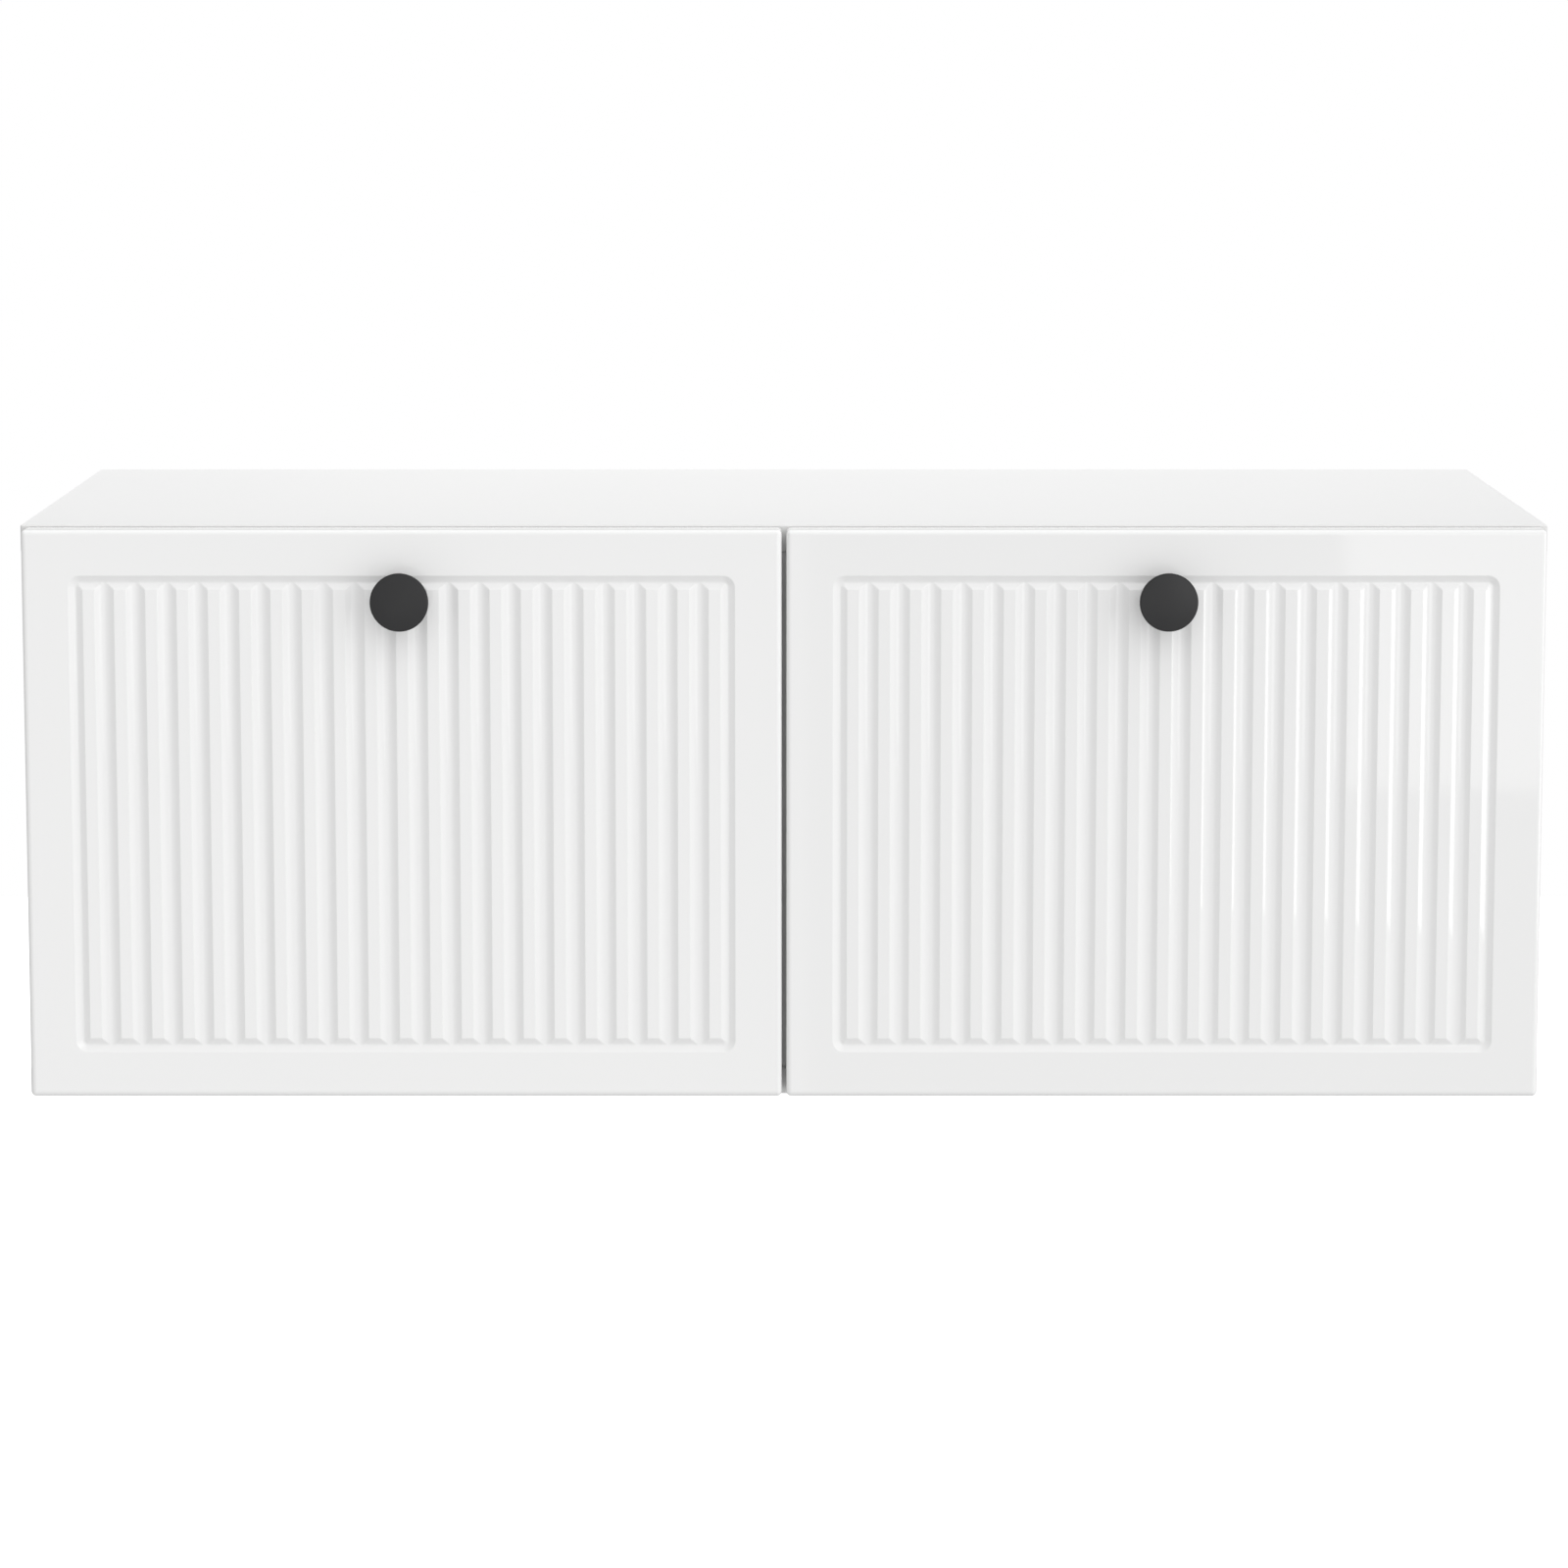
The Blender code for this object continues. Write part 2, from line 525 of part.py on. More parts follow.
# ---------------------------------------------------------------------------------- hinges
def make_leaf(name, carrier, centre_x, direction, knuckles, board):
    """One hinge leaf, let into its board, with its own knuckles rolled round the pin."""
    axis_y, axis_z = HINGE_AXIS.y, HINGE_AXIS.z
    half = HINGE_LENGTH / 2
    board_face = axis_y + direction * FLAP_GAP_BEHIND / 2
    inner = board_face + direction * (HINGE_LEAF_RECESS - FIT - HINGE_LEAF)
    outer = board_face + direction * (HINGE_LEAF_RECESS - FIT)
    foot = KNUCKLE_BORE_RADIUS + 0.0001
    low_y, high_y = sorted((inner, outer))
    leaf = block(
        name, (centre_x - half, low_y, axis_z + foot),
        (centre_x + half, high_y, axis_z + HINGE_LEAF_HEIGHT), carrier, NICKEL)

    pitch = HINGE_LENGTH / KNUCKLE_COUNT
    spans = []
    for i in knuckles:
        start = centre_x - half + i * pitch + KNUCKLE_GAP / 2
        spans.append(((start, axis_y, axis_z), (start + pitch - KNUCKLE_GAP, axis_y, axis_z)))
    join(leaf, rods(name + "_knuckles", KNUCKLE_RADIUS, spans, carrier, sides=12))
    # The leaf stops beside the other leaf's knuckles and turns clear of them.
    others = [i for i in range(KNUCKLE_COUNT) if i not in knuckles]
    reach = HINGE_AXIS.z + KNUCKLE_RADIUS + 2 * KNUCKLE_GAP
    for i in others:
        start = centre_x - half + i * pitch - KNUCKLE_GAP / 2
        gap = block(
            f"{name}_gap_{i}", (start, axis_y - OVERCUT, axis_z - OVERCUT),
            (start + pitch + KNUCKLE_GAP, axis_y + OVERCUT, reach), carrier)
        cut(leaf, gap)
    bore_ends = ((centre_x - HINGE_LENGTH, axis_y, axis_z), (centre_x + HINGE_LENGTH, axis_y, axis_z))
    cut(leaf, rod_between(name + "_bore", KNUCKLE_BORE_RADIUS, *bore_ends, carrier, sides=12))

    screw_z = axis_z + (HINGE_LEAF_HEIGHT + KNUCKLE_RADIUS) / 2
    holes = []
    for offset in (-0.36, 0.0, 0.36):
        x = centre_x + offset * HINGE_LENGTH
        holes.append(((x, axis_y - OVERCUT, screw_z), (x, axis_y + OVERCUT, screw_z)))
    cut(leaf, rods(name + "_screw_holes", HINGE_SCREW_HOLE_RADIUS, holes, carrier, sides=8))

    pocket_floor = board_face + direction * HINGE_LEAF_RECESS
    pocket_y = sorted((pocket_floor, board_face - direction * FLAP_GAP_BEHIND / 2))
    pocket = block(
        name + "_pocket", (centre_x - half - FIT, pocket_y[0], axis_z - OVERCUT),
        (centre_x + half + FIT, pocket_y[1], axis_z + HINGE_LEAF_HEIGHT + FIT), carrier)
    cut(board, pocket)
    relief_half = half + KNUCKLE_GAP
    relief = rod_between(
        name + "_relief", KNUCKLE_RADIUS + KNUCKLE_GAP + FIT,
        (centre_x - relief_half, axis_y, axis_z), (centre_x + relief_half, axis_y, axis_z), carrier)
    cut(board, relief)


def make_hinge(name, centre_x, flap_carrier, flap):
    """A butt hinge in the gap between flap and bottom panel, with its pin along X."""
    fixed = [i for i in range(KNUCKLE_COUNT) if i % 2 == 0]
    moving = [i for i in range(KNUCKLE_COUNT) if i % 2 == 1]
    make_leaf(name + "_carcass_leaf", cabinet, centre_x, 1, fixed, bottom_panel)
    make_leaf(name + "_flap_leaf", flap_carrier, centre_x, -1, moving, flap)
    start = (centre_x - HINGE_LENGTH / 2, HINGE_AXIS.y, HINGE_AXIS.z)
    end = (centre_x + HINGE_LENGTH / 2, HINGE_AXIS.y, HINGE_AXIS.z)
    rod_between(name + "_pin", HINGE_PIN_RADIUS, start, end, cabinet, NICKEL, sides=12)


# -------------------------------------------------------------------- catches and bumpers
def make_catch(side, sign, carrier):
    """A magnetic catch under the top panel, its strike plate and two bumpers on the flap."""
    centre_x = sign * FLAP_CENTRE_X
    ceiling = INNER_CEILING - FIT
    body = block(
        f"{side}_magnetic_catch",
        (centre_x - CATCH_WIDTH / 2, EDGE_ROUND - DEPTH, ceiling - CATCH_HEIGHT),
        (centre_x + CATCH_WIDTH / 2, EDGE_ROUND - DEPTH + CATCH_DEPTH, ceiling), cabinet, WHITE_PLASTIC)
    round_edges(body, EDGE_ROUND)
    middle_z = ceiling - CATCH_HEIGHT / 2
    low_y = FLAP_BACK_FACE + FIT
    strike = block(
        f"{side}_strike_plate", (centre_x - STRIKE_WIDTH / 2, low_y, middle_z - STRIKE_HEIGHT / 2),
        (centre_x + STRIKE_WIDTH / 2, low_y + STRIKE_THICKNESS, middle_z + STRIKE_HEIGHT / 2),
        carrier, NICKEL)
    holes = []
    for offset in (-0.36, 0.36):
        x = centre_x + offset * STRIKE_WIDTH
        holes.append(((x, low_y - OVERCUT, middle_z), (x, low_y + OVERCUT, middle_z)))
    cut(strike, rods(f"{side}_strike_holes", HINGE_SCREW_HOLE_RADIUS, holes, carrier, sides=8))

    places = (("outer", sign * (SIDE_OUTER + SIDE_INNER) / 2),
              ("inner", sign * (FLAP_CENTRE_GAP / 2 + BOARD / 2) / 2))
    for place, x in places:
        z = FLAP_TOP - BUMPER_DROP
        profile = [
            (0.0, BUMPER_THICKNESS + FIT),
            (BUMPER_RADIUS * 0.6, BUMPER_THICKNESS + FIT - 0.0002),
            (BUMPER_RADIUS, BUMPER_THICKNESS * 0.4),
            (BUMPER_RADIUS, FIT),
            (0.0, FIT),
        ]
        turned(f"{side}_flap_{place}_bumper", profile, (0, 1, 0), (x, FLAP_BACK_FACE, z),
               carrier, CLEAR_BUMPER, steps=16)


# ------------------------------------------------------------------------------ flap stays
def stay_pivot(angle, x):
    """A pivot of the stay, at its angle back from the vertical over the hinge axis."""
    return Vector((x, HINGE_AXIS.y + STAY_RADIUS * math.sin(angle),
                   HINGE_AXIS.z + STAY_RADIUS * math.cos(angle)))


def make_stay(side, sign, flap_carrier):
    """A friction stay: a rod pivots on the flap and slides through a swivelling barrel."""
    def from_side(distance):
        return sign * (SIDE_INNER - distance)

    def x_range(near, far):
        return sorted((from_side(near), from_side(far)))

    rod_x = from_side(STAY_ROD_OFFSET)
    bracket_pivot = stay_pivot(STAY_BRACKET_ANGLE, rod_x)
    barrel_pivot = stay_pivot(STAY_BARREL_ANGLE, rod_x)
    along = (barrel_pivot - bracket_pivot).normalized()
    bearing_radius = STAY_RIVET_RADIUS + FIT

    # Bracket on the flap: a foot, an ear and the rivet that the rod's eye turns on.
    ear_far = STAY_ROD_OFFSET - STAY_EYE_THICKNESS / 2 - STAY_PLATE
    foot_x = x_range(ear_far - STAY_PLATE, ear_far - STAY_PLATE + STAY_BRACKET_WIDTH)
    foot_y = FLAP_BACK_FACE + FIT
    bracket = block(
        f"{side}_stay_bracket", (foot_x[0], foot_y, bracket_pivot.z - STAY_BRACKET_HEIGHT / 2),
        (foot_x[1], foot_y + STAY_PLATE, bracket_pivot.z + STAY_BRACKET_HEIGHT / 2),
        flap_carrier, ZINC)
    ear_x = x_range(ear_far - STAY_PLATE, ear_far)
    ear = block(
        f"{side}_stay_ear", (ear_x[0], foot_y + STAY_PLATE / 2, bracket_pivot.z - STAY_EYE_RADIUS),
        (ear_x[1], bracket_pivot.y + STAY_EYE_RADIUS, bracket_pivot.z + STAY_EYE_RADIUS), flap_carrier)
    join(bracket, ear)
    eye_near = STAY_ROD_OFFSET - STAY_EYE_THICKNESS / 2
    eye_far = STAY_ROD_OFFSET + STAY_EYE_THICKNESS / 2
    rivet_start = Vector((from_side(ear_far - STAY_PLATE / 2), *bracket_pivot.yz))
    rivet_end = Vector((from_side(eye_far + 2 * FIT + STAY_PLATE / 2), *bracket_pivot.yz))
    join(bracket, rod_between(f"{side}_stay_rivet", STAY_RIVET_RADIUS, rivet_start, rivet_end, flap_carrier))
    head_start = Vector((from_side(eye_far + FIT), *bracket_pivot.yz))
    head_end = Vector((from_side(eye_far + FIT + STAY_PLATE), *bracket_pivot.yz))
    join(bracket, rod_between(
        f"{side}_stay_rivet_head", 2 * STAY_RIVET_RADIUS, head_start, head_end, flap_carrier))
    screw_x = from_side(ear_far - STAY_PLATE + 0.7 * STAY_BRACKET_WIDTH)
    holes = []
    for offset in (-0.3, 0.3):
        z = bracket_pivot.z + offset * STAY_BRACKET_HEIGHT
        holes.append(((screw_x, foot_y - OVERCUT, z), (screw_x, foot_y + OVERCUT, z)))
    cut(bracket, rods(f"{side}_stay_bracket_holes", STAY_SCREW_HOLE_RADIUS, holes, flap_carrier, sides=12))

    # Rod with a flat eye, and the collar that ends its travel.
    rod_carrier = empty(f"{side}_stay_rod_pivot", flap_carrier, bracket_pivot)
    collar_start = STAY_SPAN_OPEN + STAY_BARREL_RADIUS + STAY_COLLAR_GAP
    rod_length = collar_start + STAY_COLLAR_LENGTH + STAY_ROD_TIP
    eye = rod_between(
        f"{side}_stay_rod", STAY_EYE_RADIUS, Vector((from_side(eye_near), *bracket_pivot.yz)),
        Vector((from_side(eye_far), *bracket_pivot.yz)), rod_carrier, NICKEL, sides=24)
    shank = rod_between(
        f"{side}_stay_shank", STAY_ROD_RADIUS, bracket_pivot + along * STAY_EYE_RADIUS * 0.6,
        bracket_pivot + along * rod_length, rod_carrier)
    join(eye, shank)
    cut(eye, rod_between(
        f"{side}_stay_eye_bore", bearing_radius, Vector((from_side(0), *bracket_pivot.yz)),
        Vector((from_side(2 * STAY_ROD_OFFSET), *bracket_pivot.yz)), rod_carrier))
    collar = rod_between(
        f"{side}_stay_collar", STAY_COLLAR_RADIUS, bracket_pivot + along * collar_start,
        bracket_pivot + along * (collar_start + STAY_COLLAR_LENGTH), rod_carrier, GREY_PLASTIC, sides=24)
    cut(collar, rod_between(
        f"{side}_stay_collar_bore", STAY_ROD_RADIUS + FIT, bracket_pivot + along * STAY_SPAN_OPEN,
        bracket_pivot + along * (rod_length + STAY_ROD_TIP), rod_carrier))

    # Base plate with its stud on the side panel.
    plate_x = x_range(FIT, FIT + STAY_PLATE)
    base = block(
        f"{side}_stay_base",
        (plate_x[0], barrel_pivot.y - STAY_BASE_WIDTH / 2, barrel_pivot.z - STAY_BASE_HEIGHT / 2),
        (plate_x[1], barrel_pivot.y + STAY_BASE_WIDTH / 2, barrel_pivot.z + STAY_BASE_HEIGHT / 2),
        cabinet, ZINC)
    stud_end = FIT + STAY_PLATE + STAY_STUD_LENGTH
    join(base, rod_between(
        f"{side}_stay_stud", STAY_STUD_RADIUS, Vector((from_side(FIT + STAY_PLATE / 2), *barrel_pivot.yz)),
        Vector((from_side(stud_end), *barrel_pivot.yz)), cabinet))
    holes = []
    for offset in (-0.36, 0.36):
        z = barrel_pivot.z + offset * STAY_BASE_HEIGHT
        holes.append(((from_side(-OVERCUT), barrel_pivot.y, z), (from_side(OVERCUT), barrel_pivot.y, z)))
    cut(base, rods(f"{side}_stay_base_holes", STAY_SCREW_HOLE_RADIUS, holes, cabinet, sides=12))

    # Swivelling barrel that grips the rod.
    barrel_carrier = empty(f"{side}_stay_barrel_pivot", cabinet, barrel_pivot)
    near = FIT + STAY_PLATE + STAY_BARREL_GAP
    hole_radius = STAY_ROD_RADIUS + STAY_ROD_CLEARANCE
    far = STAY_ROD_OFFSET + hole_radius + STAY_BARREL_WALL
    barrel = rod_between(
        f"{side}_stay_barrel", STAY_BARREL_RADIUS, Vector((from_side(near), *barrel_pivot.yz)),
        Vector((from_side(far), *barrel_pivot.yz)), barrel_carrier, GREY_PLASTIC, sides=32)
    cut(barrel, rod_between(
        f"{side}_stay_barrel_rod_hole", hole_radius, barrel_pivot - along * 2 * STAY_BARREL_RADIUS,
        barrel_pivot + along * 2 * STAY_BARREL_RADIUS, barrel_carrier))
    cut(barrel, rod_between(
        f"{side}_stay_barrel_stud_hole", STAY_STUD_RADIUS + FIT, Vector((from_side(0), *barrel_pivot.yz)),
        Vector((from_side(stud_end + FIT), *barrel_pivot.yz)), barrel_carrier))


# ---------------------------------------------------------------------------- wall hanging
def make_rail():
    """The steel rail that is screwed to the wall; its origin is the model's origin."""
    half_flange = RAIL_FLANGE_HEIGHT / 2
    bend = RAIL_SLOPE / 5
    low_z = RAIL_CENTRE_Z - half_flange
    flange_top = RAIL_CENTRE_Z + half_flange
    outline = [
        (0.0, low_z),
        (0.0, flange_top),
        (-RAIL_STEP, flange_top + RAIL_SLOPE),
        (-RAIL_STEP, RAIL_TOP),
        (-RAIL_STEP - RAIL_PLATE, RAIL_TOP),
        (-RAIL_STEP - RAIL_PLATE, flange_top + RAIL_SLOPE - bend),
        (-RAIL_PLATE, flange_top - bend),
        (-RAIL_PLATE, low_z),
    ]
    rail = plate("wall_rail", outline, 2 * (SIDE_INNER - RAIL_END_GAP), 0.0, cabinet, ZINC)
    holes = []
    for i in (-2.5, -1.5, -0.5, 0.5, 1.5, 2.5):
        x = i * RAIL_HOLE_PITCH
        holes.append(((x, -RAIL_STEP, RAIL_CENTRE_Z), (x, RAIL_STEP, RAIL_CENTRE_Z)))
    cut(rail, rods("wall_rail_holes", RAIL_HOLE_RADIUS, holes, cabinet, sides=12))


def make_hanger(side, sign):
    """A hanger in the top back corner: housing, adjustable hook and cover cap."""
    def x_range(near, far):
        return sorted((sign * (SIDE_INNER - near), sign * (SIDE_INNER - far)))

    ceiling = INNER_CEILING - FIT
    floor = ceiling - HANGER_HEIGHT
    back_y = BACK_FRONT_FACE - FIT
    front_y = back_y - HANGER_DEPTH
    near, far = FIT, FIT + HANGER_WIDTH
    outer_x = x_range(near, far)
    housing = block(f"{side}_hanger_housing", (outer_x[0], front_y, floor), (outer_x[1], back_y, ceiling),
                    cabinet, ZINC)
    inner_x = x_range(near + HANGER_WALL, far - HANGER_WALL)
    cut(housing, block(
        f"{side}_hanger_hollow", (inner_x[0], front_y + HANGER_WALL, floor + HANGER_WALL),
        (inner_x[1], back_y + HANGER_DEPTH, ceiling - HANGER_WALL), cabinet))

    under = RAIL_TOP + FIT
    over = under + HOOK_ARM
    tip_back = -HOOK_WALL_GAP
    tip_front = tip_back - HOOK_TIP_DEPTH
    plate_front = front_y + 3 * HANGER_WALL
    plate_back = plate_front + HOOK_PLATE_DEPTH
    outline = [
        (plate_front, over - HOOK_PLATE_HEIGHT),
        (plate_back, over - HOOK_PLATE_HEIGHT),
        (plate_back, under),
        (tip_front, under),
        (tip_front, RAIL_TOP - HOOK_TIP_DROP),
        (tip_back, RAIL_TOP - HOOK_TIP_DROP),
        (tip_back, over),
        (plate_front, over),
    ]
    middle = (near + far) / 2
    middle_x = sign * (SIDE_INNER - middle)
    plate(f"{side}_hanger_hook", outline, HOOK_THICKNESS, middle_x, cabinet, ZINC)
    slot_x = x_range(middle - HOOK_THICKNESS / 2 - HOOK_SLOT_CLEARANCE,
                     middle + HOOK_THICKNESS / 2 + HOOK_SLOT_CLEARANCE)
    cut(back_panel, block(
        f"{side}_hook_slot", (slot_x[0], BACK_FRONT_FACE - OVERCUT, under - HOOK_SLOT_CLEARANCE),
        (slot_x[1], OVERCUT - BACK_SETBACK, over + HOOK_SLOT_CLEARANCE), cabinet))

    grow = COVER_CLEARANCE + COVER_WALL
    cover_x = x_range(near, far + grow)
    cover = block(f"{side}_hanger_cover", (cover_x[0], front_y - grow, floor - grow),
                  (cover_x[1], back_y, ceiling), cabinet, WHITE_PLASTIC)
    hollow_x = x_range(-OVERCUT, far + COVER_CLEARANCE)
    cut(cover, block(
        f"{side}_hanger_cover_hollow", (hollow_x[0], front_y - COVER_CLEARANCE, floor - COVER_CLEARANCE),
        (hollow_x[1], back_y + HANGER_DEPTH, ceiling + HANGER_DEPTH), cabinet))


make_rail()
for side_name, side_sign in (("left", -1), ("right", 1)):
    make_shelf(side_name, side_sign)
    flap_axis, flap_board = make_flap(side_name, side_sign)
    make_knob(side_name, side_sign, flap_axis, flap_board)
    hinge_reach = FLAP_WIDTH / 2 - HINGE_FROM_FLAP_END
    make_hinge(f"{side_name}_outer_hinge", side_sign * (FLAP_CENTRE_X + hinge_reach), flap_axis, flap_board)
    make_hinge(f"{side_name}_inner_hinge", side_sign * (FLAP_CENTRE_X - hinge_reach), flap_axis, flap_board)
    make_catch(side_name, side_sign, flap_axis)
    make_stay(side_name, side_sign, flap_axis)
    make_hanger(side_name, side_sign)
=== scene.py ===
import json
import math

import bmesh
import bpy
from mathutils import Matrix, Vector

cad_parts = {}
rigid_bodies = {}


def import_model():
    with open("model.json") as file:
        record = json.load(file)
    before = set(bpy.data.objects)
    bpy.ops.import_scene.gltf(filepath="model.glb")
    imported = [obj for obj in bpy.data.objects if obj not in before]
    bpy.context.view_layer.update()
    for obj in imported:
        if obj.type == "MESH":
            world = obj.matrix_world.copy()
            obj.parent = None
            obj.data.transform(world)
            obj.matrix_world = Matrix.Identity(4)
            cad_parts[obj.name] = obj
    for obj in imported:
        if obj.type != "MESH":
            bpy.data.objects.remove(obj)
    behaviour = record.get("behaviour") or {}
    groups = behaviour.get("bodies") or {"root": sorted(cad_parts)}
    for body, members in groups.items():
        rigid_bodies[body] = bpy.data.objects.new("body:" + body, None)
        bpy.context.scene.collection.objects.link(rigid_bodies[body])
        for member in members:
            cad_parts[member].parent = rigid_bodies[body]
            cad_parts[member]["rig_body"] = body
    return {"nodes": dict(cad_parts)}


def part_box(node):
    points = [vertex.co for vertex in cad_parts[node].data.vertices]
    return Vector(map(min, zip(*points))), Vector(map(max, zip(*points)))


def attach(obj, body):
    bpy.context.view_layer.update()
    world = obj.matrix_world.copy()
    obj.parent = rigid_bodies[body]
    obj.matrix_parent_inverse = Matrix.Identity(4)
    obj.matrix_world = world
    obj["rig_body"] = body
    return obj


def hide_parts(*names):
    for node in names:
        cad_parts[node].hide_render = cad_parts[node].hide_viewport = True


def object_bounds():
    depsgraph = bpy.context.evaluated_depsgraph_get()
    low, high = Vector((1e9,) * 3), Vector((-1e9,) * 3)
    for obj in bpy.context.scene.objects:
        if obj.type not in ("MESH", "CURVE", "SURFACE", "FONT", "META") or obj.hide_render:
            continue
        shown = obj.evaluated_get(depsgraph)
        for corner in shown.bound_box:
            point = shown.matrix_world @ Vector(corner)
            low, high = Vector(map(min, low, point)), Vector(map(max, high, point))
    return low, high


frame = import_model()
cad_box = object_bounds()


# --------------------------------------------------------------------------- carcass boards
# Top, bottom, side and partition panels and two shelves: 18 mm chipboard faced with white
# melamine, saw-cut, with a thin plastic band on each edge that shows and bare chips at the wall.
# The duller white on every front-facing face is partly the band's own tone and partly painted
# shade, for the shade in the gaps beside the fronts. They are joined with cam fittings, and each
# board keeps the shape it has in the frame.

EDGE_BAND = 0.0009
GLUE_LINE = 0.00016
RAW_EDGE = 0.001
FACES_FRONT = 0.4
FACES_WALL = 0.9
CHIPS_PER_METRE = 420.0
MELAMINE = (0.872, 0.872, 0.868, 1.0)
MELAMINE_SHADE = (0.855, 0.857, 0.857, 1.0)
# Partly the edge band's own duller white, partly painted shade for the gaps beside the fronts.
BAND_WHITE_WITH_PAINTED_SHADE = (0.76, 0.76, 0.755, 1.0)
GLUE_COLOUR = (0.60, 0.59, 0.57, 1.0)
CHIP_DARK = (0.30, 0.19, 0.10, 1.0)
CHIP_MID = (0.52, 0.37, 0.21, 1.0)
CHIP_PALE = (0.68, 0.53, 0.34, 1.0)


class Wire:
    """A shader socket that takes arithmetic: each expression adds the Math nodes it needs."""

    def __init__(self, tree, socket=None):
        self.tree = tree
        self.socket = socket

    def node(self, kind, settings, inputs, output=0):
        """A node of one kind: its settings first, then the values or wires of its inputs."""
        made = self.tree.nodes.new("ShaderNode" + kind)
        for name, value in settings.items():
            if name == "stops":
                ramp = made.color_ramp.elements
                while len(ramp) < len(value):
                    ramp.new(1.0)
                for element, (place, colour) in zip(ramp, value):
                    element.position = place
                    element.color = colour
            else:
                setattr(made, name, value)
        for key, value in inputs.items():
            self.feed(made.inputs[key], value)
        return Wire(self.tree, made.outputs[output])

    def feed(self, target, value):
        """Link a wire to an input, or set the input to a plain value."""
        if isinstance(value, Wire):
            self.tree.links.new(value.socket, target)
        else:
            target.default_value = value

    def also(self, output):
        """Another output of the node that this wire comes from."""
        return Wire(self.tree, self.socket.node.outputs[output])

    def math(self, operation, *values):
        return self.node("Math", {"operation": operation}, dict(enumerate(values)))

    def __add__(self, other):
        return self.math("ADD", self, other)

    def __radd__(self, other):
        return self.math("ADD", other, self)

    def __sub__(self, other):
        return self.math("SUBTRACT", self, other)

    def __rsub__(self, other):
        return self.math("SUBTRACT", other, self)

    def __mul__(self, other):
        return self.math("MULTIPLY", self, other)

    def __rmul__(self, other):
        return self.math("MULTIPLY", other, self)

    def __abs__(self):
        return self.math("ABSOLUTE", self)

    def __gt__(self, other):
        return self.math("GREATER_THAN", self, other)

    def smaller(self, other):
        """The smaller of two values."""
        return self.math("MINIMUM", self, other)

    def mix(self, first, second):
        """Two colours, blended by this wire."""
        return self.node("Mix", {"data_type": "RGBA"}, {0: self, 6: first, 7: second}, 2)

    def noise(self, scale, detail=2.0, roughness=0.5, output=0):
        """Cloudy noise over this wire's coordinates, scale in waves per metre."""
        sockets = {"Vector": self, "Scale": scale, "Detail": detail, "Roughness": roughness}
        return self.node("TexNoise", {}, sockets, output)

    def bump(self, distance, strength=1.0):
        """A normal from this wire as a height of so many metres."""
        return self.node("Bump", {}, {"Height": self, "Distance": distance, "Strength": strength})


def start_finish(name):
    """A material and its Object coordinates."""
    material = bpy.data.materials.new(name)
    material.use_nodes = True
    coordinates = Wire(material.node_tree).node("TexCoord", {}, {}, "Object")
    return material, coordinates


def set_shader(material, sockets):
    """Give the Principled shader its numbers and wires."""
    shader = material.node_tree.nodes["Principled BSDF"]
    wire = Wire(material.node_tree)
    for name, value in sockets.items():
        wire.feed(shader.inputs[name], value)
    return material


def board_finish(name, front_y, end_x=None):
    """Melamine with a banded front edge, banded ends where end_x is given, raw at the wall."""
    material, place = start_finish(name)
    x = place.node("SeparateXYZ", {}, {0: place}, "X")
    y = x.also("Y")
    into = y - front_y
    if end_x is not None:
        into = into.smaller(end_x - abs(x))
    seam = 1.0 - (abs(into - EDGE_BAND) * (1 / GLUE_LINE)).smaller(1.0)
    cloud = place.noise(5.0, 3.0)
    white = cloud.mix(MELAMINE, MELAMINE_SHADE)
    faced = (seam * 0.30).mix(white, GLUE_COLOUR)

    chips = place.node(
        "TexVoronoi", {}, {"Vector": place, "Scale": CHIPS_PER_METRE, "Randomness": 1.0}, "Distance")
    grain = chips * 0.9 + place.noise(900.0, 3.0) * 0.45
    stops = ((0.18, CHIP_DARK), (0.45, CHIP_MID), (0.85, CHIP_PALE))
    raw = grain.node("ValToRGB", {"stops": stops}, {0: grain})
    outward = place.node("NewGeometry", {}, {}, "Normal")
    facing = outward.node("SeparateXYZ", {}, {0: outward}, "Y")
    cut_edge = (facing > FACES_WALL) * (y > -RAW_EDGE)
    # Front-facing faces take the darker band white: partly the band's own tone, partly painted shade.
    front_band_painted_shade = (-FACES_FRONT - facing) > 0.0
    pearl = place.noise(1100.0, 2.0) * (1.0 - cut_edge) + grain * (cut_edge * 6.0)
    return set_shader(material, {
        "Base Color": cut_edge.mix(front_band_painted_shade.mix(faced, BAND_WHITE_WITH_PAINTED_SHADE), raw),
        "Roughness": 0.36 + place.noise(260.0, 2.0) * 0.12 + cut_edge * 0.4,
        "Normal": pearl.bump(0.000035, 0.55),
    })


def dress(node, material):
    """A frame node keeps its shape and takes a finish."""
    mesh = frame["nodes"][node].data
    mesh.materials.clear()
    mesh.materials.append(material)


carcass_low, carcass_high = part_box("top_panel")
capped = board_finish("melamine_top_and_bottom", carcass_low.y, carcass_high.x)
upright = board_finish("melamine_uprights", carcass_low.y)
shelving = board_finish("melamine_shelves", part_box("left_shelf")[0].y)
for look, boards in (
    (capped, ("top_panel", "bottom_panel")),
    (upright, ("left_side_panel", "right_side_panel", "centre_partition")),
    (shelving, ("left_shelf", "right_shelf")),
):
    for board in boards:
        dress(board, look)


# ------------------------------------------------------------------------------- back panel
# One sheet of 3 mm hardboard, held in a groove all round. Its front is lacquered white; its
# back is bare brown fibre that carries the print of the mesh it was pressed on.

LACQUER = (0.845, 0.845, 0.838, 1.0)
LACQUER_SHADE = (0.825, 0.825, 0.816, 1.0)
FIBRE = (0.245, 0.145, 0.078, 1.0)
FIBRE_PALE = (0.40, 0.265, 0.155, 1.0)
MESH_WAVES = 620.0
BARE_SKIN = 0.0004

